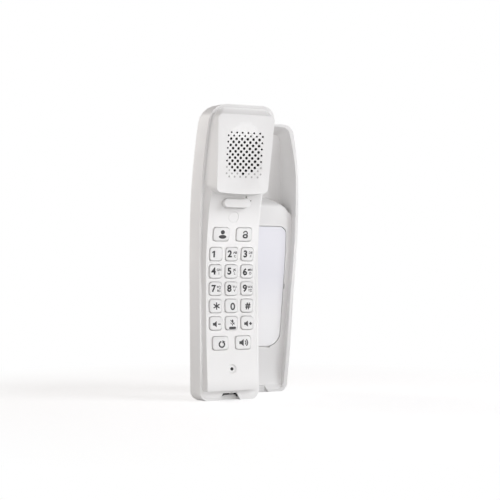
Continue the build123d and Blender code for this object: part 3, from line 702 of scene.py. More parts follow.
# %% The microphone's dish and the pin dimple
pin_side, pin_height = 11.3, 135.6
pin_steps = 16
pin_profile = ((0, 0.9), (0.45, 0.9), (0.45, -0.6), (0, -0.6))
mic_height = 21.6
mic_profile = ((0, 0.55), (2.2, 0.5), (2.75, 0.34), (3.1, 0.0), (3.3, -0.6), (0, -0.6))
slope_at_mic = (face_y(mic_height + 1) - face_y(mic_height - 1)) / 2
mic_frame = (Matrix.Translation(on_handset(0, face_y(mic_height), mic_height))
             @ Matrix.Rotation(-math.atan(slope_at_mic), 4, "X"))
dish_cutter = turned_mesh("mic_dish", mic_profile)
dish_cutter.transform(mic_frame)
cover_mesh = cut_away(merged_mesh("handset_front_cover"), dish_cutter)
pin_frame = Matrix.Translation(on_handset(pin_side, face_y(pin_height), pin_height))
pin_cutter = turned_mesh("pin_dimple", pin_profile, pin_steps)
pin_cutter.transform(pin_frame)
cover_mesh = cut_away(cover_mesh, pin_cutter)
print("dish faces shaded:", shade_dish(cover_mesh))
smooth_copy("handset_front_cover", cover_mesh)

# %% [markdown]
# ## Geometry Nodes
#
# What repeats is grown by Geometry Nodes: a small tree makes one piece and sets it on every place. These helpers
# start a tree with named sizes, add a node and wire it, reckon with numbers and join parts.

# %% Helpers that build a tree
def start_tree(name, takes_places, **sizes):
    """Start a tree with a named input for each size; returns the tree, its input node and its output node."""
    tree = bpy.data.node_groups.new(name, "GeometryNodeTree")
    if takes_places:
        tree.interface.new_socket("Places", in_out="INPUT", socket_type="NodeSocketGeometry")
    for label, value in sizes.items():
        kind = "NodeSocketVector" if isinstance(value, Vector) else "NodeSocketFloat"
        socket = tree.interface.new_socket(label.replace("_", " "), in_out="INPUT", socket_type=kind)
        socket.default_value = value
    tree.interface.new_socket("Geometry", in_out="OUTPUT", socket_type="NodeSocketGeometry")
    return tree, tree.nodes.new("NodeGroupInput").outputs, tree.nodes.new("NodeGroupOutput").inputs


def wire(tree, socket, value):
    """Link an input to another node's output, or set it to a plain value."""
    if isinstance(value, bpy.types.NodeSocket):
        tree.links.new(value, socket)
    else:
        socket.default_value = value


def add_node(tree, kind, settings=None, **inputs):
    """Add a node with its settings and inputs; returns its outputs."""
    made = tree.nodes.new(kind)
    for label, value in (settings or {}).items():
        setattr(made, label, value)
    for label, value in inputs.items():
        wire(tree, made.inputs[label.replace("_", " ")], value)
    return made.outputs


def reckon(tree, operation, *values):
    """A sum, product or other step on numbers."""
    made = tree.nodes.new("ShaderNodeMath")
    made.operation = operation
    for socket, value in zip(made.inputs, values):
        wire(tree, socket, value)
    return made.outputs["Value"]


def joined(tree, *parts):
    """All the parts as one geometry."""
    made = tree.nodes.new("GeometryNodeJoinGeometry")
    for part in parts:
        tree.links.new(part, made.inputs["Geometry"])
    return made.outputs["Geometry"]


# %% [markdown]
# Every tree ends in the same steps. It is run on a small carrier object that is thrown away again. What stays is a
# plain mesh, because an export can't carry instances.

# %% Helpers that close a tree and run it
def finish_tree(tree, ends, geometry, material):
    """Close the tree: real geometry instead of instances, seams merged, material set."""
    real = add_node(tree, "GeometryNodeRealizeInstances", Geometry=geometry)["Geometry"]
    whole = add_node(tree, "GeometryNodeMergeByDistance", Geometry=real, Distance=merge_distance)["Geometry"]
    painted = add_node(tree, "GeometryNodeSetMaterial", Geometry=whole, Material=material)["Geometry"]
    tree.links.new(painted, ends["Geometry"])


def grow(name, tree, places=None, edge_angle=35.0, **sizes):
    """Run a tree, on places if it takes them, and return a plain closed mesh with its faces outwards."""
    carrier = bpy.data.objects.new(name + "_carrier", places or bpy.data.meshes.new(name + "_start"))
    bpy.context.scene.collection.objects.link(carrier)
    modifier = carrier.modifiers.new("grow", "NODES")
    modifier.node_group = tree
    socket_of = {item.name: item.identifier for item in tree.interface.items_tree if item.in_out == "INPUT"}
    for label, value in sizes.items():
        modifier[socket_of[label.replace("_", " ")]] = value
    depsgraph = bpy.context.evaluated_depsgraph_get()
    mesh = bpy.data.meshes.new_from_object(carrier.evaluated_get(depsgraph), depsgraph=depsgraph)
    carrier.modifiers.clear()
    bpy.data.objects.remove(carrier)
    mesh.name = name
    bm = bmesh.new()
    bm.from_mesh(mesh)
    bmesh.ops.recalc_face_normals(bm, faces=bm.faces)
    bm.to_mesh(mesh)
    bm.free()
    return shade_edges(mesh, edge_angle)


# %% [markdown]
# ## Sound holes
#
# Behind the dish lies black cloth, and each hole reads as a black dot. White light that bounces inside a hole would
# turn it grey, so every open hole gets a thin dark lining, painted shade, that starts just below its rim. The holes
# stand in fifteen staggered rows of six and seven. The lowest rows fade out into small blind dimples, and there a
# grey plug makes the dimple as shallow as the real one; its grey is painted shade too.

# %% Places of the sound holes
hole_pitch = 4.17
pattern_height = 165.0
hole_rows = 15


def hole_places():
    """Row, column, number in the row and place on the pod's face of each hole."""
    for row in range(hole_rows):
        count = 6 + row % 2
        up = pattern_height - pod_middle + (hole_rows // 2 - row) * hole_pitch / 2
        for column in range(count):
            yield row, column, count, (column - (count - 1) / 2) * hole_pitch, up


def is_blind(row, column, count):
    """The lowest rows are dimples, apart from one hole in the middle."""
    at_end = column in (0, count - 1)
    return row == 14 or (row == 13 and column != count // 2) or (row in (11, 12) and at_end)


print("sound holes, blind ones too:", len(list(hole_places())))

# %% [markdown]
# Every place also carries how wide and how deep its hole is. The two top rows and the ends of the long rows are
# smaller. A hole starts at the surface of the dish, so the sink of the dish is reckoned at each place.

# %% Sizes of the sound holes
open_radius, small_radius = 1.0, 0.72
wall_depth = 3.2
shade_lining_start = 0.15
blind_depth = 0.3
blind_floor = 2.15


def dish_sink(x, y):
    """How deep the dish lies below the pod's face at a place."""
    reach = dish_ring + math.sqrt(dish_across ** 2 - x ** 2)
    return math.sqrt(reach ** 2 - y ** 2) - (dish_along - dish_depth)


def sized_points(name, rows):
    """A mesh of loose points that carry a radius and a length, from rows of x, y, depth, radius and length."""
    mesh = bpy.data.meshes.new(name)
    mesh.from_pydata([(x * MM, y * MM, -depth * MM) for x, y, depth, _, _ in rows], [], [])
    for label, column in (("radius", 3), ("length", 4)):
        values = [row[column] * MM for row in rows]
        mesh.attributes.new(label, "FLOAT", "POINT").data.foreach_set("value", values)
    return mesh


open_rows, blind_rows = [], []
for row, column, count, x, y in hole_places():
    surface = dish_sink(x, y)
    if is_blind(row, column, count):
        top = surface + blind_depth
        blind_rows.append((x, y, top, small_radius, blind_floor - top))
        continue
    small = row < 2 or (count == 7 and column in (0, count - 1))
    start = surface + shade_lining_start
    open_rows.append((x, y, start, small_radius if small else open_radius, wall_depth - start))
print("open sound holes:", len(open_rows), "blind dimples:", len(blind_rows))

# %% [markdown]
# One dark lining of painted shade is a square profile swept round a circle. The tree sets it on every point, and
# stretches it to the radius and length that the point carries. The helper that does this serves the plugs too, which
# are plain rods.

# %% Linings of painted shade
def hang_on_places(tree, places, shape):
    """A shape of unit size, hung under every place and stretched to the radius and length that the place carries."""
    hung = add_node(tree, "GeometryNodeTransform", Geometry=shape, Translation=(0, 0, -0.5))["Geometry"]
    radius, length = [
        add_node(tree, "GeometryNodeInputNamedAttribute", {"data_type": "FLOAT"}, Name=label)["Attribute"]
        for label in ("radius", "length")
    ]
    stretch = add_node(tree, "ShaderNodeCombineXYZ", X=radius, Y=radius, Z=length)["Vector"]
    return add_node(tree, "GeometryNodeInstanceOnPoints", Points=places, Instance=hung, Scale=stretch)["Instances"]


# The linings are black: painted shade inside the open holes.
shade_lining_tree, sizes, ends = start_tree("shade_lining_tree", True, Fit=0.905, Wall=0.06)
middle_radius = reckon(shade_lining_tree, "SUBTRACT", sizes["Fit"], reckon(shade_lining_tree, "MULTIPLY", sizes["Wall"], 0.5))
circle = add_node(shade_lining_tree, "GeometryNodeCurvePrimitiveCircle", Resolution=20, Radius=middle_radius)["Curve"]
upright = add_node(shade_lining_tree, "GeometryNodeSetCurveNormal", {"mode": "Z_UP"}, Curve=circle)["Curve"]
square = add_node(shade_lining_tree, "GeometryNodeCurvePrimitiveQuadrilateral", Width=sizes["Wall"], Height=1.0)["Curve"]
tube = add_node(shade_lining_tree, "GeometryNodeCurveToMesh", Curve=upright, Profile_Curve=square)["Mesh"]
finish_tree(shade_lining_tree, ends, hang_on_places(shade_lining_tree, sizes["Places"], tube), black_plastic)

shade_lining_mesh = grow("sound_hole_shade_linings", shade_lining_tree, sized_points("open_holes", open_rows))
pod_frame = Matrix((
    (pod_right.x, pod_up.x, pod_out.x, pod_origin.x),
    (pod_right.y, pod_up.y, pod_out.y, pod_origin.y),
    (pod_right.z, pod_up.z, pod_out.z, pod_origin.z),
    (0, 0, 0, 1),
))
shade_lining_mesh.transform(pod_frame)
place_piece("sound_hole_shade_linings", shade_lining_mesh, "handset", black_plastic)
print("lining faces:", len(shade_lining_mesh.polygons))

# %% [markdown]
# The CAD's blind dimples go deeper than the real ones, which are only marks in the moulding. A grey rod in each one
# ends just below the surface. Its grey is painted shade: the shade at the bottom of such a small dimple.

# %% Plugs of the blind dimples
# The plugs' grey is painted shade for the bottoms of the dimples.
dimple_shade_plastic = moulded_plastic("dimple_shade_plastic", (0.5, 0.497, 0.49), 0.5)
plug_tree, sizes, ends = start_tree("plug_tree", True, Fit=0.97)
rod = add_node(plug_tree, "GeometryNodeMeshCylinder", Vertices=16, Radius=sizes["Fit"], Depth=1.0)["Mesh"]
finish_tree(plug_tree, ends, hang_on_places(plug_tree, sizes["Places"], rod), dimple_shade_plastic)
plug_mesh = grow("dimple_plugs", plug_tree, sized_points("blind_holes", blind_rows))
plug_mesh.transform(pod_frame)
place_piece("dimple_plugs", plug_mesh, "handset", dimple_shade_plastic)
print("plug faces:", len(plug_mesh.polygons))

# %% [markdown]
# The microphone hole and the pin dimple get their dark linings of painted shade too. There is only one of each, so
# these are turned from a profile, with the same helper that made their cutters.

# %% Painted shade in the microphone hole and the pin dimple
# Both linings are dark: painted shade inside the two holes.
pin_shade_profile = ((0, 0.35), (0.43, 0.35), (0.43, 0.85), (0, 0.85))
mic_shade_profile = ((1.0, 0.5), (1.13, 0.5), (1.13, 1.9), (0, 1.9), (0, 1.8), (1.0, 1.8), (1.0, 0.5))
pin_shade_lining = turned_mesh("pin_shade_lining", pin_shade_profile, pin_steps)
pin_shade_lining.transform(pin_frame)
place_piece("pin_shade_lining", pin_shade_lining, "handset", socket_plastic)
mic_shade_lining = turned_mesh("mic_shade_lining", mic_shade_profile)
mic_shade_lining.transform(mic_frame)
place_piece("mic_shade_lining", shade_edges(mic_shade_lining), "handset", black_plastic)
print("faces of the two linings:", len(pin_shade_lining.polygons), len(mic_shade_lining.polygons))

# %% [markdown]
# ## Keys
#
# Each key is a rounded cap that stands a little proud of the panel and follows its slope. One tree makes them all: a
# rounded outline is swept with a small quarter round for the edge and a straight wall behind it, and both ends are
# filled. The cap is a hair smaller than its window, which leaves the fine dark line that the photograph shows.

# %% The key tree
key_tree, sizes, ends = start_tree("key_tree", False, Width=9.2 * MM, Tall=9.2 * MM, Corner=2.1 * MM, Edge=0.6 * MM,
                                   Depth=4.0 * MM, Slope=0.0, Flange=0.5 * MM, Flange_Front=2.6 * MM,
                                   Place=Vector((0, 0, 0)))


def rounded_outline(tree, width, tall, corner):
    """A rounded rectangle, counter-clockwise seen from the front."""
    box = add_node(tree, "GeometryNodeCurvePrimitiveQuadrilateral", Width=width, Height=tall)["Curve"]
    fillet = tree.nodes.new("GeometryNodeFilletCurve")
    fillet.mode = "POLY"
    fillet.inputs["Count"].default_value = 7
    wire(tree, fillet.inputs["Curve"], box)
    wire(tree, fillet.inputs["Radius"], corner)
    return add_node(tree, "GeometryNodeSetCurveNormal", {"mode": "Z_UP"}, Curve=fillet.outputs["Curve"])["Curve"]


outline = rounded_outline(key_tree, sizes["Width"], sizes["Tall"], sizes["Corner"])
twice = reckon(key_tree, "MULTIPLY", sizes["Edge"], 2.0)
top_outline = rounded_outline(
    key_tree, reckon(key_tree, "SUBTRACT", sizes["Width"], twice), reckon(key_tree, "SUBTRACT", sizes["Tall"], twice),
    reckon(key_tree, "SUBTRACT", sizes["Corner"], sizes["Edge"]),
)
arc = add_node(key_tree, "GeometryNodeCurveArc", {"mode": "RADIUS"}, Resolution=7, Radius=sizes["Edge"],
               Start_Angle=math.radians(-90), Sweep_Angle=math.radians(90))["Curve"]
minus_edge = reckon(key_tree, "MULTIPLY", sizes["Edge"], -1.0)
arc_place = add_node(key_tree, "ShaderNodeCombineXYZ", X=minus_edge, Y=sizes["Edge"])["Vector"]
edge_round = add_node(key_tree, "GeometryNodeTransform", Geometry=arc, Translation=arc_place)["Geometry"]
wall_start = add_node(key_tree, "ShaderNodeCombineXYZ", Y=sizes["Edge"])["Vector"]
wall_end = add_node(key_tree, "ShaderNodeCombineXYZ", Y=sizes["Depth"])["Vector"]
wall = add_node(key_tree, "GeometryNodeCurvePrimitiveLine", Start=wall_start, End=wall_end)["Curve"]
profile = joined(key_tree, edge_round, wall)
sides = add_node(key_tree, "GeometryNodeCurveToMesh", Curve=outline, Profile_Curve=profile)["Mesh"]
face = add_node(key_tree, "GeometryNodeFillCurve", {"mode": "NGONS"}, Curve=top_outline)["Mesh"]
back = add_node(key_tree, "GeometryNodeFillCurve", {"mode": "NGONS"}, Curve=outline)["Mesh"]
minus_depth = reckon(key_tree, "MULTIPLY", sizes["Depth"], -1.0)
back_place = add_node(key_tree, "ShaderNodeCombineXYZ", Z=minus_depth)["Vector"]
back = add_node(key_tree, "GeometryNodeTransform", Geometry=back, Translation=back_place)["Geometry"]
cap = joined(key_tree, sides, face, back)

# %% [markdown]
# The cap is made lying flat. A shear gives its face the slope of the panel and leaves its back square, then the cap
# is turned upright. The flange behind the panel, which keeps the key from falling out, is a plain frame.

# %% The key's slope, flange and place
spot = add_node(key_tree, "GeometryNodeInputPosition")["Position"]
along = add_node(key_tree, "ShaderNodeSeparateXYZ", Vector=spot)
towards_front = reckon(key_tree, "ADD", reckon(key_tree, "DIVIDE", along["Z"], sizes["Depth"]), 1.0)
drop = reckon(key_tree, "MULTIPLY", reckon(key_tree, "MULTIPLY", along["Y"], sizes["Slope"]), towards_front)
shear = add_node(key_tree, "ShaderNodeCombineXYZ", Z=reckon(key_tree, "MULTIPLY", drop, -1.0))["Vector"]
sloped = add_node(key_tree, "GeometryNodeSetPosition", Geometry=cap, Offset=shear)["Geometry"]
flange_wide = reckon(key_tree, "ADD", sizes["Width"], reckon(key_tree, "MULTIPLY", sizes["Flange"], 2.0))
flange_tall = reckon(key_tree, "ADD", sizes["Tall"], reckon(key_tree, "MULTIPLY", sizes["Flange"], 2.0))
flange_deep = reckon(key_tree, "SUBTRACT", sizes["Depth"], sizes["Flange Front"])
flange_size = add_node(key_tree, "ShaderNodeCombineXYZ", X=flange_wide, Y=flange_tall, Z=flange_deep)["Vector"]
flange_middle = reckon(key_tree, "MULTIPLY", reckon(key_tree, "ADD", sizes["Depth"], sizes["Flange Front"]), -0.5)
flange_place = add_node(key_tree, "ShaderNodeCombineXYZ", Z=flange_middle)["Vector"]
frame_box = add_node(key_tree, "GeometryNodeMeshCube", Size=flange_size)["Mesh"]
flange = add_node(key_tree, "GeometryNodeTransform", Geometry=frame_box, Translation=flange_place)["Geometry"]
standing = add_node(key_tree, "GeometryNodeTransform", Geometry=joined(key_tree, sloped, flange),
                    Translation=sizes["Place"], Rotation=(math.radians(90), 0, 0))["Geometry"]
finish_tree(key_tree, ends, standing, key_plastic)
print("nodes in the key tree:", len(key_tree.nodes))

# %% [markdown]
# The panel's face dips gently between foot and head, so every key has its own slope: the difference between the
# panel's face at the key's head and at its foot, over the key's size.

# %% Where each key stands
key_pitch = 11.7
first_row, function_row, lower_row = 99.4, 112.8, 39.2
wide_key_side = 8.5
cap_to_flange = 1.8
key_size, wide_key_size = 9.4, 11.9
key_rise = 0.8
key_back = 0.9
key_gap = 0.15


def key_places():
    """Name, place across, height and width of each key."""
    digits = ("1", "2", "3", "4", "5", "6", "7", "8", "9", "star", "0", "hash")
    for index, name in enumerate(digits + ("volume_down", "mute", "volume_up")):
        row, column = divmod(index, 3)
        yield "key_" + name, (column - 1) * key_pitch, first_row - row * key_pitch, key_size
    for name, side, height in (("guard", -1, function_row), ("unlock", 1, function_row),
                               ("redial", -1, lower_row), ("loudspeaker", 1, lower_row)):
        yield "key_" + name, side * wide_key_side, height, wide_key_size


def key_front(height):
    """Depth of a key's face at its middle, and its slope."""
    low, high = face_y(height - key_size / 2), face_y(height + key_size / 2)
    return (low + high) / 2 - key_rise, (high - low) / key_size


for name, x, height, width in key_places():
    front, slope = key_front(height)
    mesh = grow(name, key_tree, edge_angle=50.0, Width=(width - 2 * key_gap) * MM, Tall=(key_size - 2 * key_gap) * MM,
                Depth=(key_back - front) * MM, Slope=slope, Flange_Front=(key_rise + cap_to_flange) * MM,
                Place=on_handset(x, front, height))
    piece = place_piece(name + "_cap", mesh, body_of[name], key_plastic)
    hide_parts(name)
print("keys:", len(key_nodes), "faces in one:", len(mesh.polygons))

# %% [markdown]
# ## Legends
#
# The legends are printed in near-black ink, a few hundredths of a millimetre thick. Digits and letters are text
# objects turned into flat meshes; the signs are flat curves, where an inner outline cuts a hole. Each is made lying
# flat, then laid on the slope of its own key, and rides with it.

# %% Flat shapes for the print
ink_height = 0.02
ink_sink = 0.03
capital_share = 0.7


def flat_text(words, size, weight):
    """Letters as a flat mesh round the origin; size is a capital's height in millimetres, weight a share of it."""
    data = bpy.data.curves.new("print", "FONT")
    data.body = words
    data.size = size * MM / capital_share
    data.align_x = "CENTER"
    data.align_y = "CENTER"
    data.offset = weight * size * MM
    return flat_mesh(data)


def flat_outlines(*outlines):
    """Closed outlines in millimetres as a flat filled mesh; an outline inside another is a hole."""
    data = bpy.data.curves.new("print", "CURVE")
    data.dimensions = "2D"
    data.fill_mode = "BOTH"
    for points in outlines:
        spline = data.splines.new("POLY")
        spline.points.add(len(points) - 1)
        for point, (x, y) in zip(spline.points, points):
            point.co = (x * MM, y * MM, 0, 1)
        spline.use_cyclic_u = True
    return flat_mesh(data)


def flat_mesh(data):
    """Turn a text or a flat curve into a mesh."""
    carrier = bpy.data.objects.new("print_carrier", data)
    bpy.context.scene.collection.objects.link(carrier)
    depsgraph = bpy.context.evaluated_depsgraph_get()
    mesh = bpy.data.meshes.new_from_object(carrier.evaluated_get(depsgraph), depsgraph=depsgraph)
    bpy.data.objects.remove(carrier)
    return mesh


# %% [markdown]
# The signs are made of a few kinds of outline: circles and arcs, rings, bars, stars and the horn of a loudspeaker.
# Each helper gives the points of one, in millimetres round the middle of a key.

# %% Outlines for the signs
def round_points(x, y, radius, start=0, end=360, steps=24, tall=None):
    """Points on a circle or an arc, in degrees."""
    tall = tall or radius
    turns = [math.radians(start + (end - start) * i / steps) for i in range(steps + (abs(end - start) < 360))]
    return [(x + radius * math.cos(t), y + tall * math.sin(t)) for t in turns]


def ring_piece(x, y, outer, inner, start, end):
    """An arc with a width, as one closed outline."""
    return round_points(x, y, outer, start, end, 16) + round_points(x, y, inner, end, start, 16)


def bar(x, y, width, tall, turn=0):
    """A small upright or turned rectangle."""
    angle = math.radians(turn)
    corners = ((-width / 2, -tall / 2), (width / 2, -tall / 2), (width / 2, tall / 2), (-width / 2, tall / 2))
    return [(x + u * math.cos(angle) - v * math.sin(angle), y + u * math.sin(angle) + v * math.cos(angle))
            for u, v in corners]


def round_bar(x, y, width, tall):
    """A bar with half-round ends."""
    radius = tall / 2
    reach = width / 2 - radius
    return round_points(x + reach, y, radius, -90, 90, 10) + round_points(x - reach, y, radius, 90, 270, 10)


def star_points(x, y, reach, width, arms):
    """Bars that cross in one point, as one outline: a star with six arms or a plus with four."""
    half = width / 2
    step = 360 / arms
    corner = math.hypot(reach, half)
    tip = math.degrees(math.atan2(half, reach))
    inner = half / math.sin(math.radians(step / 2))
    points = []
    for arm in range(arms):
        middle_angle = 90 + arm * step
        for radius, turn in ((corner, -tip), (corner, tip), (inner, step / 2)):
            angle = math.radians(middle_angle + turn)
            points.append((x + radius * math.cos(angle), y + radius * math.sin(angle)))
    return points


def horn(x, y, size):
    """The box and cone of a loudspeaker sign."""
    return [(x - size, y - 0.42 * size), (x - 0.45 * size, y - 0.42 * size), (x + 0.35 * size, y - size),
            (x + 0.35 * size, y + size), (x - 0.45 * size, y + 0.42 * size), (x - size, y + 0.42 * size)]


# %% [markdown]
# The print is laid on a key with the slope of its face. It sinks a little into the cap, so that no gap shows, and
# stands two hundredths proud.

# %% Laying print on a key
def lay_print(name, node, shapes, front, slope, x, height):
    """Join flat shapes, give them a thickness and lay them on a key's face."""
    bm = bmesh.new()
    for mesh, across, up in shapes:
        part = bmesh.new()
        part.from_mesh(mesh)
        bmesh.ops.remove_doubles(part, verts=part.verts, dist=merge_distance)
        bmesh.ops.translate(part, verts=part.verts, vec=(across * MM, up * MM, 0))
        carrier = bpy.data.meshes.new("print_part")
        part.to_mesh(carrier)
        part.free()
        bm.from_mesh(carrier)
        bpy.data.meshes.remove(carrier)
    made = bmesh.ops.extrude_face_region(bm, geom=bm.faces[:])
    raised = [item for item in made["geom"] if isinstance(item, bmesh.types.BMVert)]
    bmesh.ops.translate(bm, verts=raised, vec=(0, 0, (ink_height + ink_sink) * MM))
    bmesh.ops.recalc_face_normals(bm, faces=bm.faces)
    for vertex in bm.verts:
        across, up, out = vertex.co
        depth = front * MM + slope * up + ink_sink * MM - out
        vertex.co = on_handset(x, 0, height) + Vector((across, depth, up))
    mesh = bpy.data.meshes.new(name)
    bm.to_mesh(mesh)
    bm.free()
    return place_piece(name, mesh, body_of[node], ink)


# %% [markdown]
# The signs are plain and generic, and each is a short list of outlines round the middle of its key. Outlines that
# cross each other are separate meshes, because where two of them overlap in one curve they would cut a hole. The
# font's "6" breaks up when it is thickened, so the "6" is a "9" that is turned upside down.

# %% Digits, letters and signs
digit_size = 4.4
digit_weight = 0.055
hash_size, hash_weight = 4.2, 0.05
letter_size = 1.6
letter_weight = 0.035
letters_of = {"2": ("AB", "C"), "3": ("DE", "F"), "4": ("GH", "I"), "5": ("JK", "L"), "6": ("MN", "O"),
              "7": ("PQ", "RS"), "8": ("TU", "V"), "9": ("WX", "YZ")}
one_outline = ((0.8, -2.2), (0.8, 2.2), (-0.15, 2.2), (-1.25, 1.5), (-1.25, 0.6), (-0.4, 1.0), (-0.4, -2.2))
sign_outlines = {
    "star": [star_points(0.6, 0, 2.5, 0.85, 6)],
    "guard": [round_points(0.9, 1.35, 1.5, tall=1.45), round_points(0.9, -1.7, 2.8, tall=1.3)],
    "volume_down": [horn(-0.2, -0.5, 2.1), bar(2.5, -0.5, 1.9, 0.75)],
    "volume_up": [horn(-0.2, -0.5, 2.1), star_points(2.5, -0.5, 1.05, 0.85, 4)],
    "mute": [round_points(0.6, 1.3, 0.7, tall=1.15), ring_piece(0.6, 0.9, 1.75, 1.3, 200, 340),
             bar(0.6, -1.1, 0.55, 1.3), bar(0.6, 0.6, 0.45, 4.4, 45), round_bar(0.6, -3.25, 5.2, 1.7)],
    "redial": [ring_piece(0.9, -0.8, 2.45, 1.4, -260, 40), [(1.3, 1.9), (1.4, -0.2), (3.4, 1.1)]],
    "loudspeaker": [horn(-0.6, 0, 2.4), ring_piece(0.2, 0, 2.1, 1.3, -48, 48),
                    ring_piece(0.2, 0, 3.35, 2.55, -48, 48)],
}
case_outlines = (round_bar(0.8, -1.1, 4.0, 3.0), round_bar(0.8, -1.1, 1.6, 1.0))
shackle_outline = ring_piece(0.8, 0.8, 1.8, 0.95, 0, 180)
leg_outline = bar(2.18, 0.6, 0.85, 0.9)
zero_outlines = (round_points(0.9, -0.4, 1.8, tall=2.55), round_points(0.9, -0.4, 0.75, tall=1.5))
print("signs:", len(sign_outlines) + 1, "keys with small letters:", len(letters_of))

# %% [markdown]
# One function gives the print of a key by the key's name. A digit stands a little to the left, and its small letters
# stand to the right in two lines. The loop lays a print on every key.

# %% The print of every key
def shapes_of(name):
    """The print of one key, as flat meshes with their places."""
    if name in sign_outlines:
        return [(flat_outlines(outline), 0, 0) for outline in sign_outlines[name]]
    if name == "unlock":
        return [(flat_outlines(*outlines), 0, 0) for outlines in (case_outlines, (shackle_outline,), (leg_outline,))]
    if name == "hash":
        return [(flat_text("#", hash_size, hash_weight), 0.6, 0)]
    if name == "1":
        return [(flat_outlines(one_outline), -1.7, 0)]
    if name == "0":
        return [(flat_outlines(*zero_outlines), 0, 0)]
    first, second = letters_of[name]
    digit = flat_text("9" if name == "6" else name, digit_size, digit_weight)
    if name == "6":
        digit.transform(Matrix.Rotation(math.pi, 4, "Z"))
    return [(digit, -1.6, 0),
            (flat_text(first, letter_size, letter_weight), 2.3, 1.0),
            (flat_text(second, letter_size, letter_weight), 2.3, -1.4)]


for node, x, height, width in key_places():
    name = node.removeprefix("key_")
    front, slope = key_front(height)
    lay_print("print_" + name, node, shapes_of(name), front, slope, x, height)
print("legends:", len(key_nodes))

# %% [markdown]
# ## The two notches in the feet
#
# The cord's plugs go up into the feet, and a notch in front of each socket gives a fingertip room at the latch. In
# the handset a light sill and a grey latch bar stand before the dark socket. The base's notch is closed by a pale
# grid a little way in.

# %% Plates and small bars
def flat_plate(name, outline, front, back, frame_of, material, body):
    """A plate from an outline across and up, between two depths."""
    bm = bmesh.new()
    face = bm.faces.new([bm.verts.new(frame_of(x, front, z)) for x, z in outline])
    grown = bmesh.ops.extrude_face_region(bm, geom=[face])["geom"]
    corners = [item for item in grown if isinstance(item, bmesh.types.BMVert)]
    bmesh.ops.translate(bm, vec=Vector((0, (back - front) * MM, 0)), verts=corners)
    bmesh.ops.recalc_face_normals(bm, faces=bm.faces)
    mesh = bpy.data.meshes.new(name)
    bm.to_mesh(mesh)
    bm.free()
    return place_piece(name, mesh, body, material)


def bar_rows(name, places, size, material, body):
    """Small bars of one size, one on every place."""
    tree, sizes, ends = start_tree(name + "_tree", True, Width=size[0] * MM, Deep=size[1] * MM, Tall=size[2] * MM)
    box_size = add_node(tree, "ShaderNodeCombineXYZ", X=sizes["Width"], Y=sizes["Deep"], Z=sizes["Tall"])["Vector"]
    one = add_node(tree, "GeometryNodeMeshCube", Size=box_size)["Mesh"]
    bars = add_node(tree, "GeometryNodeInstanceOnPoints", Points=sizes["Places"], Instance=one)["Instances"]
    finish_tree(tree, ends, bars, material)
    points = bpy.data.meshes.new(name + "_points")
    points.from_pydata([tuple(place) for place in places], [], [])
    return place_piece(name, grow(name, tree, points), body, material)


# %% [markdown]
# The sill and the latch bar stand at fixed depths of the handset's drawing. The grid's depth is counted from the
# front of the tray's foot, which is measured on the tray's own mesh.

# %% Sill, latch bar and grid
sill_front, sill_back = 4.3, 4.6
sill_outline = ((-6.5, 2.05), (6.5, 2.05), (5.9, 3.3), (-1.6, 3.3), (-4.4, 2.5), (-6.3, 2.5))
flat_plate("notch_sill", sill_outline, sill_front, sill_back, on_handset, case_plastic, "handset")
bar_rows("latch_bar", [on_handset(3.0, 4.5, 3.95)], (3.2, 0.3, 0.7), pale_socket, "handset")

grid_sink, grid_thickness, grid_proud = 2.2, 0.6, 0.1
grid_pitch = 1.1
grid_left, grid_foot, grid_middle = -4.4, 0.9, 2.6

foot_points = [vertex.co for vertex in merged_mesh("base_tray").vertices if vertex.co.z < 4 * MM]
grid_front = (min(point.y for point in foot_points) - on_base(0, 0, 0).y) / MM + grid_sink
grid_back = grid_front + grid_thickness
grid_outline = ((-7.6, 0.2), (7.6, 0.2), (5.0, 4.9), (-5.0, 4.9))
flat_plate("notch_grid_plate", grid_outline, grid_front, grid_back, on_base, pale_socket, "base")
upright = [on_base(grid_left + grid_pitch * i, grid_front - grid_proud, grid_middle) for i in range(9)]
level = [on_base(0, grid_front - grid_proud, grid_foot + grid_pitch * i) for i in range(4)]
bar_rows("notch_grid_upright", upright, (0.35, 0.3, 4.2), shaded_base_plastic, "base")
bar_rows("notch_grid_level", level, (9.6, 0.26, 0.35), shaded_base_plastic, "base")
print("bars of the grid:", len(upright) + len(level), "depth of its face:", round(grid_front, 2), "mm")

# %% [markdown]
# ## Screws
#
# Eight small cross-head screws hold the two housings together. Their heads show in the wells at the back. The tree
# turns a head and a shank round one line, cuts the cross out of the head, and sets a screw on every place.

# %% The screw tree
crown_draw = 0.6 * MM
skirt_share = 0.55
screw_tree, sizes, ends = start_tree("screw_tree", True, Head_Radius=2.35 * MM, Head_Height=1.5 * MM,
                                     Shank_Radius=1.28 * MM, Shank_Length=9.0 * MM, Cross_Width=0.55 * MM,
                                     Cross_Length=2.7 * MM)


def turned_bar(tree, radius, height, low, crown=0.0):
    """A round bar that stands on the height low, with its head drawn in by the crown."""
    made = tree.nodes.new("GeometryNodeMeshCone")
    made.inputs["Vertices"].default_value = 28
    made.inputs["Side Segments"].default_value = 1
    wire(tree, made.inputs["Radius Top"], reckon(tree, "SUBTRACT", radius, crown))
    wire(tree, made.inputs["Radius Bottom"], radius)
    wire(tree, made.inputs["Depth"], height)
    where = add_node(tree, "ShaderNodeCombineXYZ", Z=low)["Vector"]
    return add_node(tree, "GeometryNodeTransform", Geometry=made.outputs["Mesh"], Translation=where)["Geometry"]


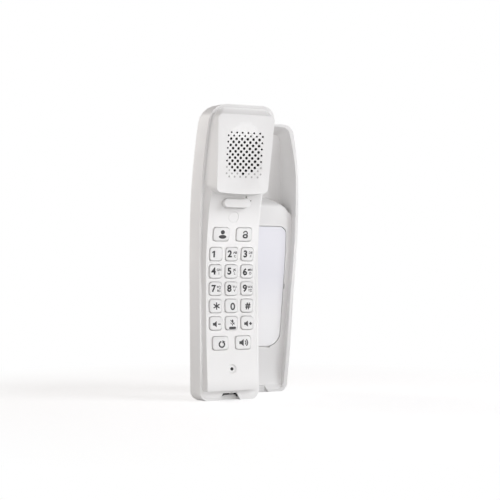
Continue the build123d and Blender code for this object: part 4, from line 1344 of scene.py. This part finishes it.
skirt_height = reckon(screw_tree, "MULTIPLY", sizes["Head Height"], skirt_share)
crown_height = reckon(screw_tree, "SUBTRACT", sizes["Head Height"], skirt_height)
skirt = turned_bar(screw_tree, sizes["Head Radius"], skirt_height, 0.0)
crown = turned_bar(screw_tree, sizes["Head Radius"], crown_height, skirt_height, crown_draw)
shank_low = reckon(screw_tree, "MULTIPLY", sizes["Shank Length"], -1.0)
shank = turned_bar(screw_tree, sizes["Shank Radius"], sizes["Shank Length"], shank_low)
cross_size = add_node(screw_tree, "ShaderNodeCombineXYZ", X=sizes["Cross Length"], Y=sizes["Cross Width"],
                      Z=sizes["Head Height"])["Vector"]
slot_box = add_node(screw_tree, "GeometryNodeMeshCube", Size=cross_size)["Mesh"]
slot_place = add_node(screw_tree, "ShaderNodeCombineXYZ", Z=sizes["Head Height"])["Vector"]
first_slot = add_node(screw_tree, "GeometryNodeTransform", Geometry=slot_box, Translation=slot_place)["Geometry"]
second_slot = add_node(screw_tree, "GeometryNodeTransform", Geometry=slot_box, Translation=slot_place,
                       Rotation=(0, 0, math.radians(90)))["Geometry"]
union = screw_tree.nodes.new("GeometryNodeMeshBoolean")
union.operation = "UNION"
union.solver = "EXACT"
for part in (skirt, crown, shank):
    screw_tree.links.new(part, union.inputs["Mesh 2"])
cut = screw_tree.nodes.new("GeometryNodeMeshBoolean")
cut.operation = "DIFFERENCE"
cut.solver = "EXACT"
screw_tree.links.new(union.outputs["Mesh"], cut.inputs["Mesh 1"])
screw_tree.links.new(first_slot, cut.inputs["Mesh 2"])
screw_tree.links.new(second_slot, cut.inputs["Mesh 2"])
screws = add_node(screw_tree, "GeometryNodeInstanceOnPoints", Points=sizes["Places"], Instance=cut.outputs["Mesh"],
                  Rotation=(math.radians(-90), 0, 0))["Instances"]
finish_tree(screw_tree, ends, screws, screw_steel)
print("nodes in the screw tree:", len(screw_tree.nodes))

# %% [markdown]
# Each housing has four screws. Their heads sit on the floors of the wells, whose depth is read from the CAD nodes'
# boxes, and the base's screws are shorter.

# %% Screws of the handset and the base
screw_head = 1.6
handset_places = [on_handset(side * spread, 0, height) for side in (-1, 1)
                  for spread, height in ((13.5, 20.0), (14.5, 147.0))]
base_places = [on_base(side * 14.5, 0, height) for side in (-1, 1) for height in (22.0, 181.0)]
for node, spread_places, length in (("handset_screws", handset_places, 9.0), ("base_screws", base_places, 6.0)):
    low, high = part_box(node)
    seat = high.y - screw_head * MM
    points = bpy.data.meshes.new(node + "_points")
    points.from_pydata([(place.x, seat, place.z) for place in spread_places], [], [])
    mesh = grow(node + "_turned", screw_tree, points, Shank_Length=length * MM)
    piece = place_piece(node + "_turned", mesh, body_of[node], screw_steel)
    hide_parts(node)
    print(node, "seat at", round(seat / MM, 2), "mm")
